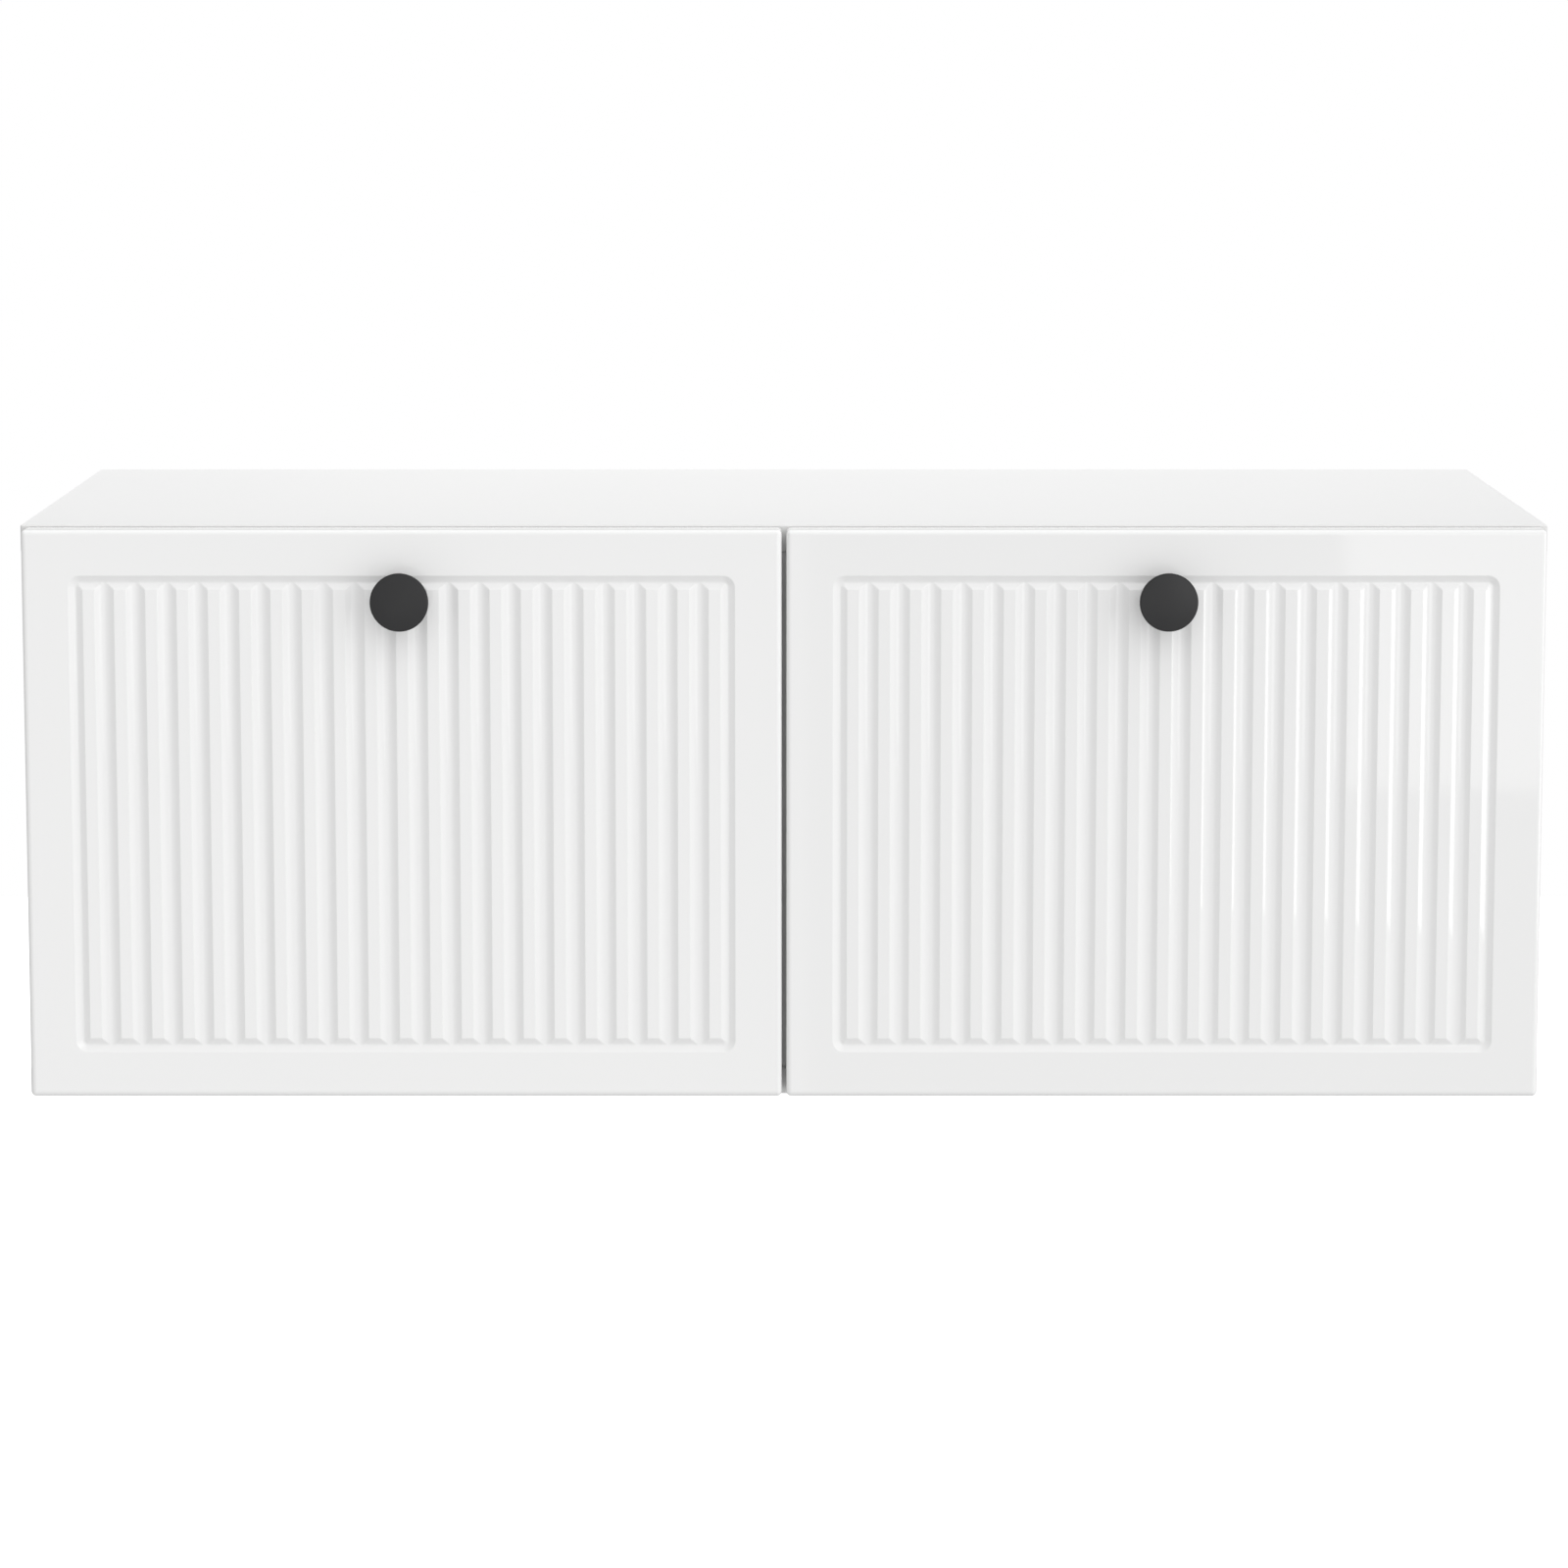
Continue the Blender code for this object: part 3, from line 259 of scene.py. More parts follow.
hardboard, place = start_finish("hardboard_sheet")
x = place.node("SeparateXYZ", {}, {0: place}, "X")
z = x.also("Z")
weave = x.math("SINE", x * (MESH_WAVES * math.tau)) * z.math("SINE", z * (MESH_WAVES * math.tau))
rear = x.also("Y") > (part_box("back_panel")[1].y - BARE_SKIN)
fibres = place.noise(180.0, 6.0, 0.7)
set_shader(hardboard, {
    "Base Color": rear.mix(
        place.noise(9.0, 3.0).mix(LACQUER, LACQUER_SHADE), fibres.mix(FIBRE, FIBRE_PALE)),
    "Roughness": 0.42 + rear * 0.42,
    "Normal": (rear * (weave * 0.5 + fibres) + place.noise(300.0, 3.0) * 0.25).bump(0.00015, 0.6),
})
dress("back_panel", hardboard)


# --------------------------------------------------------------------------------- cam caps
# Round white plastic caps pressed into the cam fittings that pull the boards together. They
# sit on the inner faces of the top and bottom panels, beside each upright, front and back.

CAP_RADIUS = 0.0095
CAP_RISE = 0.0009
CAP_EDGE = 0.0006
CAP_LIFT = 0.00005
CAP_PAST_UPRIGHT = 0.034
CAP_FROM_EDGE = 0.060
WHITE_MOULDED = (0.80, 0.80, 0.785, 1.0)


def moulded_plastic(name, colour, roughness):
    """Injection-moulded plastic with the fine spark texture of its mould."""
    material, place = start_finish(name)
    spark = place.noise(3200.0, 3.0, 0.6)
    flow = place.noise(45.0, 2.0)
    darker = tuple(channel * 0.94 for channel in colour[:3]) + (1.0,)
    return set_shader(material, {
        "Base Color": flow.mix(colour, darker),
        "Roughness": roughness + spark * 0.14,
        "Normal": spark.bump(0.00004, 0.5),
        "IOR": 1.49,
    })


def add_piece(name, bm, material, body, smooth_below=0.6):
    """A finished mesh as a piece that rides on a body of the frame."""
    mesh = bpy.data.meshes.new(name)
    bm.to_mesh(mesh)
    bm.free()
    mesh.shade_smooth()
    mesh.set_sharp_from_angle(angle=smooth_below)
    mesh.materials.append(material)
    piece = bpy.data.objects.new(name, mesh)
    bpy.context.scene.collection.objects.link(piece)
    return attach(piece, body)


def append(bm, part):
    """Move a finished part mesh into a larger one."""
    scratch = bpy.data.meshes.new("scratch")
    part.to_mesh(scratch)
    part.free()
    bm.from_mesh(scratch)
    bpy.data.meshes.remove(scratch)


def turned(bm, profile, foot, axis, steps=48):
    """Spin a profile of (radius, height) points, from its top down its outer side to its foot."""
    part = bmesh.new()
    rim = [part.verts.new((radius, 0.0, height)) for radius, height in profile]
    edges = [part.edges.new(pair) for pair in zip(rim, rim[1:])]
    bmesh.ops.spin(
        part, geom=rim + edges, cent=(0, 0, 0), axis=(0, 0, 1), angle=math.tau, steps=steps,
        use_merge=True, use_duplicate=False)
    bmesh.ops.remove_doubles(part, verts=part.verts, dist=0.000002)
    bmesh.ops.recalc_face_normals(part, faces=part.faces)
    turn = Vector(axis).to_track_quat("Z", "Y").to_matrix().to_4x4()
    bmesh.ops.transform(part, matrix=Matrix.Translation(foot) @ turn, verts=part.verts)
    append(bm, part)


def rounded(radius, height, edge, steps=4):
    """The profile of a disc whose upper edge is rounded."""
    bend = [math.radians(90 - 90 * i / steps) for i in range(steps + 1)]
    corner = [(radius - edge + edge * math.cos(a), height - edge + edge * math.sin(a)) for a in bend]
    return [(0.0, height)] + corner + [(radius, 0.0), (0.0, 0.0)]


white_plastic = moulded_plastic("white_moulded_plastic", WHITE_MOULDED, 0.38)
inner_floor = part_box("bottom_panel")[1].z
inner_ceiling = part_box("top_panel")[0].z
upright_faces = [
    (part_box("left_side_panel")[1].x, 1), (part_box("centre_partition")[0].x, -1),
    (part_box("centre_partition")[1].x, 1), (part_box("right_side_panel")[0].x, -1)]
cap_rows = (carcass_low.y + CAP_FROM_EDGE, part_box("back_panel")[0].y - 2 * CAP_FROM_EDGE)
for level, height, up in (("floor", inner_floor, 1), ("ceiling", inner_ceiling, -1)):
    caps = bmesh.new()
    for face_x, direction in upright_faces:
        for y in cap_rows:
            foot = (face_x + direction * CAP_PAST_UPRIGHT, y, height + up * CAP_LIFT)
            turned(caps, rounded(CAP_RADIUS, CAP_RISE, CAP_EDGE), foot, (0, 0, up), steps=32)
    piece = add_piece(f"{level}_cam_caps", caps, white_plastic, "carcass")


# ------------------------------------------------------------------------------- shelf pins
# Turned steel pins, nickel plated: a thin shank pushed into a drilled hole and a thicker peg
# that carries the shelf. Four pins a shelf.

NICKEL = (0.70, 0.685, 0.655, 1.0)
NICKEL_DULL = (0.60, 0.585, 0.555, 1.0)
PEG_LENGTH = 0.009
PEG_LIFT = 0.0003
SHANK_RADIUS = 0.0025
SHANK_LENGTH = 0.007
PIN_CHAMFER = 0.0006


def plated_steel(name, colour, dull, roughness, blotches):
    """Bright plating: faint blotches from the bath and fine handling scratches."""
    material, place = start_finish(name)
    stretched = place.node(
        "Mapping", {"vector_type": "POINT"}, {0: place, "Scale": (1.0, 1.0, 14.0)})
    scratches = stretched.noise(420.0, 4.0, 0.65)
    bath = place.node("TexVoronoi", {"feature": "SMOOTH_F1"}, {
        "Vector": place, "Scale": blotches, "Smoothness": 0.6}, "Distance")
    return set_shader(material, {
        "Base Color": (bath * 0.8 + scratches * 0.2).mix(colour, dull),
        "Metallic": 1.0,
        "Roughness": roughness + bath * 0.10 + scratches * 0.08,
        "Normal": scratches.bump(0.00001, 0.12),
    })


nickel = plated_steel("nickel_plating", NICKEL, NICKEL_DULL, 0.20, 160.0)
for name in sorted(frame["nodes"]):
    if "_shelf_" not in name:
        continue
    low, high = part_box(name)
    direction = 1 if name.endswith("outer_pin") == name.startswith("left") else -1
    panel_x = low.x + SHANK_LENGTH if direction > 0 else high.x - SHANK_LENGTH
    middle = (low + high) / 2
    peg_radius = (high.z - low.z) / 2
    profile = [
        (0.0, PEG_LENGTH),
        (peg_radius - PIN_CHAMFER, PEG_LENGTH),
        (peg_radius, PEG_LENGTH - PIN_CHAMFER),
        (peg_radius, PEG_LIFT),
        (SHANK_RADIUS, PEG_LIFT),
        (SHANK_RADIUS, PIN_CHAMFER - SHANK_LENGTH),
        (SHANK_RADIUS - PIN_CHAMFER, -SHANK_LENGTH),
        (0.0, -SHANK_LENGTH),
    ]
    pin = bmesh.new()
    turned(pin, profile, (panel_x, middle.y, middle.z), (direction, 0, 0), steps=32)
    piece = add_piece(name + "_turned", pin, nickel, "carcass")
    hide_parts(name)


# ----------------------------------------------------------------------- wall rail, hangers
# A pressed zinc-plated rail is screwed to the wall. In each top back corner a zinc-plated
# housing carries an adjustable hook that drops over the rail, under a white plastic cover.

ZINC = (0.62, 0.635, 0.65, 1.0)
ZINC_DULL = (0.47, 0.485, 0.50, 1.0)
DEBURR = 0.00035
COVER_EDGE = 0.0008
CREASE = math.radians(35)


def ease_edges(piece, width, segments=2):
    """Round the piece's corners a little with a modifier."""
    ease = piece.modifiers.new("eased_edges", "BEVEL")
    ease.width = width
    ease.segments = segments
    ease.limit_method = "ANGLE"
    ease.angle_limit = CREASE
    ease.harden_normals = True


def refined(node, material, edge, segments=2):
    """A piece on the shape of a frame node, with its triangles merged and its edges eased."""
    bm = bmesh.new()
    bm.from_mesh(frame["nodes"][node].data)
    bmesh.ops.remove_doubles(bm, verts=bm.verts, dist=0.000005)
    bmesh.ops.dissolve_limit(bm, angle_limit=math.radians(1.0), verts=bm.verts, edges=bm.edges)
    body = frame["nodes"][node]["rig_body"]
    piece = add_piece(node + "_finished", bm, material, body, CREASE)
    ease_edges(piece, edge, segments)
    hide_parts(node)
    return piece


zinc = plated_steel("zinc_plating", ZINC, ZINC_DULL, 0.30, 240.0)
refined("wall_rail", zinc, DEBURR)
for side in ("left", "right"):
    refined(f"{side}_hanger_housing", zinc, DEBURR)
    refined(f"{side}_hanger_hook", zinc, DEBURR)
    refined(f"{side}_hanger_cover", white_plastic, COVER_EDGE, 3)


# ------------------------------------------------------------------------------ flap hinges
# Two nickel-plated butt hinges under each flap: rolled leaves let into the boards, a round
# pin, and three small countersunk cross-head screws in each leaf.

LEAF_SCREW_RADIUS = 0.0027
LEAF_SCREW_RISE = 0.00032
LEAF_SCREWS = (-0.36, 0.0, 0.36)
LEAF_FROM_AXIS = 0.0005
HINGE_SCREW_ABOVE_AXIS = 0.00835
LEAF_EDGE = 0.00012
PIN_EDGE = 0.0002
SEAT = 0.00002
CROSS_WIDTH = 0.13
CROSS_REACH = 0.56
CROSS_TAPER = 0.72
CROSS_FLOOR = 0.25


def cross_head(bm, foot, axis, radius, rise, dome=0.35):
    """A low domed screw head with a pressed cross recess, stopped at an angle of its own."""
    slot_width = radius * CROSS_WIDTH
    slot_reach = radius * CROSS_REACH
    head = bmesh.new()
    bend = [math.radians(15 * i) for i in range(1, 7)]
    edge = [(radius * math.sin(a), rise * (1 - dome + dome * math.cos(a))) for a in bend]
    profile = [(0.0, rise)] + edge + [(radius, 0.0), (0.0, 0.0)]
    turned(head, profile, (0, 0, 0), (0, 0, 1), steps=32)
    for offset in (-slot_reach, -slot_width, slot_width, slot_reach):
        for normal in ((1, 0, 0), (0, 1, 0)):
            bmesh.ops.bisect_plane(
                head, geom=head.verts[:] + head.edges[:] + head.faces[:], dist=1e-8,
                plane_co=Vector(normal) * offset, plane_no=normal)
    cross = []
    for face in head.faces:
        middle = face.calc_center_median()
        near, far = sorted((abs(middle.x), abs(middle.y)))
        if middle.z > rise * 0.3 and near < slot_width and far < slot_reach:
            cross.append(face)
    sunk = bmesh.ops.extrude_face_region(head, geom=cross)["geom"]
    floor = [v for v in sunk if isinstance(v, bmesh.types.BMVert)]
    bmesh.ops.delete(head, geom=cross, context="FACES_KEEP_BOUNDARY")
    for vertex in floor:
        vertex.co.z = rise * CROSS_FLOOR
        vertex.co.x *= CROSS_TAPER
        vertex.co.y *= CROSS_TAPER
    bmesh.ops.recalc_face_normals(head, faces=head.faces)
    turn = Vector(axis).to_track_quat("Z", "Y").to_matrix().to_4x4()
    spin = Matrix.Rotation(sum(foot) * 900.0, 4, "Z")
    bmesh.ops.transform(head, matrix=Matrix.Translation(foot) @ turn @ spin, verts=head.verts)
    append(bm, head)


for side in ("left", "right"):
    for place_name in ("outer", "inner"):
        hinge = f"{side}_{place_name}_hinge"
        pin_low, pin_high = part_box(hinge + "_pin")
        centre = (pin_low + pin_high) / 2
        length = pin_high.x - pin_low.x
        refined(hinge + "_pin", nickel, PIN_EDGE)
        for leaf, body, face_y, outward in (
            ("carcass_leaf", "carcass", centre.y + LEAF_FROM_AXIS, -1),
            ("flap_leaf", f"{side}_flap", centre.y - LEAF_FROM_AXIS, 1),
        ):
            refined(f"{hinge}_{leaf}", nickel, LEAF_EDGE)
            screws = bmesh.new()
            for share in LEAF_SCREWS:
                x = centre.x + share * length
                foot = (x, face_y + outward * SEAT, centre.z + HINGE_SCREW_ABOVE_AXIS)
                cross_head(screws, foot, (0, outward, 0), LEAF_SCREW_RADIUS, LEAF_SCREW_RISE)
            piece = add_piece(f"{hinge}_{leaf}_screws", screws, nickel, body)


# ---------------------------------------------------------------------------- fluted fronts
# Two drop-down fronts of 18 mm fibreboard, routed and then wrapped from the front and round
# the edges in white gloss foil. Each face has upright coves between flat lands, inside a
# round-bottomed channel; the coves run into the channel, so every land ends in a mitred slope.

EDGE_ROUND = 0.003
COVE_COUNT = 20
# A groove's half width, and the half width of its round bottom.
COVE = (0.0063, 0.0034)
CHANNEL = (0.00465, 0.0010)
SIDE_TOP = math.radians(30.0)
SIDE_FOOT = math.radians(24.0)
ARRIS = 0.0012
CHANNEL_SIDE = 0.0305
CHANNEL_END = 0.0298
CHANNEL_CORNER = 0.0080
# Each hinge pocket's length, its height above the pin's axis, and its depth.
HINGE_POCKET = (0.0606, 0.0148, 0.0006)
KNUCKLE_HOLLOW = 0.0029
KNUCKLE_PLAY = 0.0004
KNOB_SCREW_HOLE = 0.0023
CUT_PAST = 0.02
BOTTOM_STEP = 0.0006
SIDE_STEP = 0.0008
ARRIS_STEP = 0.00015
FOIL_END = 0.0005
FOIL_LINE = 0.0002
GLOSS_WHITE = (0.884, 0.884, 0.880, 1.0)
GLOSS_SHADE = (0.874, 0.875, 0.874, 1.0)


def groove_depth(off_centre, half_width, round_half):
    """How deep a groove is, off its centre line: eased arris, gently bent side, round bottom."""
    off_centre = abs(off_centre)
    ease = ARRIS * math.tan(SIDE_TOP / 2)
    if off_centre >= half_width + ease:
        return 0.0
    if off_centre > half_width - ease * math.cos(SIDE_TOP):
        return ARRIS - math.sqrt(max(0.0, ARRIS ** 2 - (half_width + ease - off_centre) ** 2))
    side = (half_width - round_half) / (math.sin(SIDE_TOP) - math.sin(SIDE_FOOT))
    reach = half_width - max(off_centre, round_half)
    tilt = math.asin(math.sin(SIDE_TOP) - reach / side)
    depth = side * (math.cos(tilt) - math.cos(SIDE_TOP))
    if off_centre < round_half:
        bottom = round_half / math.sin(SIDE_FOOT)
        depth += math.sqrt(bottom ** 2 - off_centre ** 2) - bottom * math.cos(SIDE_FOOT)
    return depth


def even_stations(low, high, step):
    """Evenly spaced places from one to another, about a step apart."""
    count = max(1, round((high - low) / step))
    return [low + (high - low) * i / count for i in range(count + 1)]


def groove_stations(centre, half_width, round_half):
    """Where a groove's section needs a line of vertices, across its width."""
    ease = ARRIS * math.tan(SIDE_TOP / 2)
    edge = half_width - ease * math.cos(SIDE_TOP)
    offsets = even_stations(0.0, round_half, BOTTOM_STEP)
    offsets += even_stations(round_half, edge, SIDE_STEP)
    offsets += even_stations(edge, half_width + ease, ARRIS_STEP)
    return {round(centre + sign * offset, 6) for offset in offsets for sign in (-1, 1)}


front_low, front_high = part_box("left_flap")
flap_middle = (front_low + front_high) / 2
field_low = Vector((front_low.x + CHANNEL_SIDE, 0.0, front_low.z + CHANNEL_END))
field_high = Vector((front_high.x - CHANNEL_SIDE, 0.0, front_high.z - CHANNEL_END))
channel_width = 2 * CHANNEL[0]
fluted_width = field_high.x - field_low.x - 2 * channel_width
land = (fluted_width - COVE_COUNT * 2 * COVE[0]) / (COVE_COUNT + 1)
pitch = land + 2 * COVE[0]
coves = [field_low.x + channel_width + land + COVE[0] + i * pitch for i in range(COVE_COUNT)]


def front_depth(x, z):
    """Depth of the routing under a point of the front's face."""
    half = CHANNEL[0]
    corner = CHANNEL_CORNER - half
    reach_x = (field_high.x - field_low.x) / 2 - half - corner
    reach_z = (field_high.z - field_low.z) / 2 - half - corner
    away_x = abs(x - flap_middle.x) - reach_x
    away_z = abs(z - flap_middle.z) - reach_z
    beyond = math.hypot(max(away_x, 0.0), max(away_z, 0.0)) + min(max(away_x, away_z), 0.0)
    from_line = beyond - corner
    depth = groove_depth(from_line, *CHANNEL)
    if from_line < 0.0:
        cove = round((x - coves[0]) / pitch)
        nearest = coves[0] + min(max(cove, 0), COVE_COUNT - 1) * pitch
        depth = max(depth, groove_depth(x - nearest, *COVE))
    return depth


def combine(bm, others, operation):
    """Join closed blocks and bars to a bmesh, or cut them out of it, with an exact boolean."""
    work = bpy.data.meshes.new("work")
    bm.to_mesh(work)
    target = bpy.data.objects.new("work", work)
    tool_mesh = bpy.data.meshes.new("tool")
    others.to_mesh(tool_mesh)
    others.free()
    tool = bpy.data.objects.new("tool", tool_mesh)
    for helper in (target, tool):
        bpy.context.scene.collection.objects.link(helper)
    change = target.modifiers.new("change", "BOOLEAN")
    change.operation = operation
    change.solver = "EXACT"
    change.use_self = True
    change.object = tool
    depsgraph = bpy.context.evaluated_depsgraph_get()
    result = bpy.data.meshes.new_from_object(target.evaluated_get(depsgraph))
    bm.clear()
    bm.from_mesh(result)
    for helper in (target, tool):
        bpy.data.objects.remove(helper)
    for mesh in (work, tool_mesh, result):
        bpy.data.meshes.remove(mesh)


def add_box(bm, low, high):
    """A square-cornered block between two corners."""
    low, high = Vector(low), Vector(high)
    place = Matrix.Translation((low + high) / 2) @ Matrix.Diagonal((*(high - low), 1.0))
    bmesh.ops.create_cube(bm, size=1.0, matrix=place)


def add_bar(bm, radius, start, end, sides=48):
    """A round bar from one point to another."""
    start, end = Vector(start), Vector(end)
    turn = (end - start).to_track_quat("Z", "Y").to_matrix().to_4x4()
    bmesh.ops.create_cone(
        bm, cap_ends=True, segments=sides, radius1=radius, radius2=radius,
        depth=(end - start).length, matrix=Matrix.Translation((start + end) / 2) @ turn)


board = bmesh.new()
add_box(board, front_low, front_high)
wrapped = [e for e in board.edges if min(v.co.y for v in e.verts) < flap_middle.y]
bmesh.ops.bevel(
    board, geom=wrapped, offset=EDGE_ROUND, segments=5, profile=0.5, affect="EDGES", material=-1)

pockets = bmesh.new()
for place_name in ("outer", "inner"):
    pin_low, pin_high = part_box(f"left_{place_name}_hinge_pin")
    axis = (pin_low + pin_high) / 2
    length, rise, sink = HINGE_POCKET
    add_box(pockets, (axis.x - length / 2, front_high.y - sink, axis.z - CUT_PAST),
            (axis.x + length / 2, front_high.y + CUT_PAST, axis.z + rise))
    reach = length / 2 + KNUCKLE_PLAY
    add_bar(pockets, KNUCKLE_HOLLOW,
            (axis.x - reach, axis.y, axis.z), (axis.x + reach, axis.y, axis.z))
knob_low, knob_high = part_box("left_knob")
knob_z = (knob_low.z + knob_high.z) / 2
add_bar(pockets, KNOB_SCREW_HOLE, (flap_middle.x, front_low.y + EDGE_ROUND, knob_z),
        (flap_middle.x, front_high.y + CUT_PAST, knob_z))
combine(board, pockets, "DIFFERENCE")

columns = set()
for centre in coves:
    columns.update(groove_stations(centre, *COVE))
for edge, inward in ((field_low.x, 1), (field_high.x, -1)):
    columns.update(groove_stations(edge + inward * CHANNEL[0], *CHANNEL))
    columns.update(even_stations(*sorted((edge, edge + inward * CHANNEL_CORNER)), BOTTOM_STEP))
rows = set()
for edge, inward in ((field_low.z, 1), (field_high.z, -1)):
    rows.update(groove_stations(edge + inward * CHANNEL[0], *CHANNEL))
    rows.update(even_stations(*sorted((edge, edge + inward * CHANNEL_CORNER)), BOTTOM_STEP))
face_y = front_low.y
beside_round = EDGE_ROUND + BOTTOM_STEP
columns.update((front_low.x + beside_round, front_high.x - beside_round))
rows.update((front_low.z + beside_round, front_high.z - beside_round))
cuts = [((x, 0, 0), (1, 0, 0)) for x in sorted(columns)]
cuts += [((0, 0, z), (0, 0, 1)) for z in sorted(rows)]
face = max(board.faces, key=lambda f: f.calc_area() if f.normal.y < -0.9 else 0.0)
routed = [face, *face.edges, *face.verts]
for point, normal in cuts:
    cut = bmesh.ops.bisect_plane(
        board, geom=routed, dist=1e-7, plane_co=point, plane_no=normal)
    routed = cut["geom"]
for vertex in board.verts:
    if vertex.co.y < face_y + 1e-6:
        vertex.co.y += front_depth(vertex.co.x, vertex.co.z)
right_board = board.copy()
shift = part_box("right_flap")[0].x - front_low.x
bmesh.ops.translate(right_board, vec=(shift, 0, 0), verts=right_board.verts)

gloss, place = start_finish("gloss_foil")
y = place.node("SeparateXYZ", {}, {0: place}, "Y")
behind = y > (front_high.y - FOIL_LINE)
foil_end = 1.0 - (abs(y - (front_high.y - FOIL_END)) * (1 / FOIL_LINE)).smaller(1.0)
peel = place.noise(95.0, 2.0, 0.5)
foil = place.noise(7.0, 3.0).mix(GLOSS_WHITE, GLOSS_SHADE)
set_shader(gloss, {
    "Base Color": (foil_end * 0.35).mix(foil, GLUE_COLOUR),
    "Roughness": 0.03 + place.noise(30.0, 3.0) * 0.02 + behind * 0.32,
    "Normal": (peel + place.noise(420.0, 2.0) * 0.12).bump(0.00003, 0.20),
    "IOR": 1.50,
})
for side, mesh in (("left", board), ("right", right_board)):
    piece = add_piece(f"{side}_fluted_front", mesh, gloss, f"{side}_flap", math.radians(50))
    flat_first = piece.modifiers.new("flat_faces_first", "WEIGHTED_NORMAL")
    flat_first.keep_sharp = True
    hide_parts(f"{side}_flap")


# ------------------------------------------------------------------------------------ knobs
# Turned mushroom knobs with a nearly flat face, powder coated satin black. Each is held from
# behind, through the front, by a zinc-plated screw with a domed head.

RIM_RADIUS = 0.019
KNOB_REACH = 0.0245
RIM_PLANE = 0.0205
DOME_RISE = 0.0012
RIM_EASE = 0.0012
NECK_RADIUS = 0.0060
FOOT_RADIUS = 0.0080
KNOB_LIFT = 0.0003
KNOB_BORE = (0.0023, 0.0088)
KNOB_SCREW_HEAD = (0.0042, 0.0022, 0.7)
KNOB_SCREW_SHANK = (
    (0.0, 0.0), (0.0020, 0.0), (0.0020, -0.0258), (0.0014, -0.0265), (0.0, -0.0265))
KNOB_BLACK = (0.012, 0.012, 0.013, 1.0)
KNOB_BLACK_WORN = (0.017, 0.017, 0.018, 1.0)

powder, place = start_finish("satin_black_powder_coat")
grain = place.noise(2600.0, 3.0, 0.6)
set_shader(powder, {
    "Base Color": place.noise(60.0, 3.0).mix(KNOB_BLACK, KNOB_BLACK_WORN),
    "Roughness": 0.36 + grain * 0.12,
    "Normal": grain.bump(0.00003, 0.5),
    "IOR": 1.52,
})

shoulder = RIM_RADIUS - RIM_EASE
crown = (shoulder ** 2 + DOME_RISE ** 2) / (2 * DOME_RISE)
half_angle = math.asin(shoulder / crown)
knob_profile = [
    (crown * math.sin(half_angle * i / 12), KNOB_REACH - crown + crown * math.cos(half_angle * i / 12))
    for i in range(13)]
rim_height = KNOB_REACH - DOME_RISE
knob_profile += [
    (shoulder + RIM_EASE * math.sin(math.radians(90 * i / 8)),
     rim_height - RIM_EASE + RIM_EASE * math.cos(math.radians(90 * i / 8)))
    for i in range(1, 9)]
waist = RIM_PLANE - 0.0025
knob_profile += [
    (RIM_RADIUS, RIM_PLANE),
    (RIM_RADIUS - 0.0002, RIM_PLANE - 0.0009),
    (RIM_RADIUS - 0.0008, RIM_PLANE - 0.0017),
    (RIM_RADIUS - 0.0022, waist),
    (RIM_RADIUS * 0.78, waist - 0.0012),
    (RIM_RADIUS * 0.64, waist - 0.0022),
    (NECK_RADIUS + 0.0035, waist - 0.0035),
    (NECK_RADIUS + 0.0013, waist - 0.0051),
    (NECK_RADIUS + 0.0003, waist - 0.0063),
    (NECK_RADIUS, waist - 0.0076),
    (NECK_RADIUS, 0.0040),
    (NECK_RADIUS + 0.0004, 0.0030),
    (FOOT_RADIUS - 0.0006, 0.0019),
    (FOOT_RADIUS, 0.0014),
    (FOOT_RADIUS, KNOB_LIFT),
    (KNOB_BORE[0], KNOB_LIFT),
    KNOB_BORE,
    (0.0, KNOB_BORE[1]),
]
for side in ("left", "right"):
    low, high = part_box(f"{side}_knob")
    middle = (low + high) / 2
    knob = bmesh.new()
    turned(knob, knob_profile, (middle.x, face_y, middle.z), (0, -1, 0), steps=96)
    piece = add_piece(f"{side}_turned_knob", knob, powder, f"{side}_flap", math.radians(50))
    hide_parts(f"{side}_knob")

    screw = bmesh.new()
    back = Vector((middle.x, front_high.y + KNOB_LIFT, middle.z))
    cross_head(screw, back, (0, 1, 0), *KNOB_SCREW_HEAD)
    turned(screw, KNOB_SCREW_SHANK, back, (0, 1, 0), steps=24)
    piece = add_piece(f"{side}_knob_fixing_screw", screw, zinc, f"{side}_flap")
    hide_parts(f"{side}_knob_screw")


# ------------------------------------------------------------------ catches and their bumpers
# A magnetic catch under the top panel meets a nickel-plated strike plate on each flap: a white
# plastic case with screw ears and two steel pole plates. Soft clear bumpers quieten the flap.

CATCH_EAR = 0.0085
EAR_THICK = 0.0035
EAR_FRONT = 0.0045
EAR_BACK = 0.0035
POLE_INSET = 0.003
POLE_THICK = 0.0012
POLE_SPACING = 0.0026
POLE_PROUD = 0.0010
CATCH_SCREW = (0.0029, 0.0016, 0.6)
CASE_EDGE = 0.0006
POLE_EDGE = 0.0002
STRIKE_EDGE = 0.0003
STRIKE_SCREWS = (-0.36, 0.36)
BUMPER_EDGE = 0.0006
BUMPER_TINT = (0.86, 0.88, 0.89, 1.0)
BUMPER_SHADE = (0.82, 0.84, 0.85, 1.0)

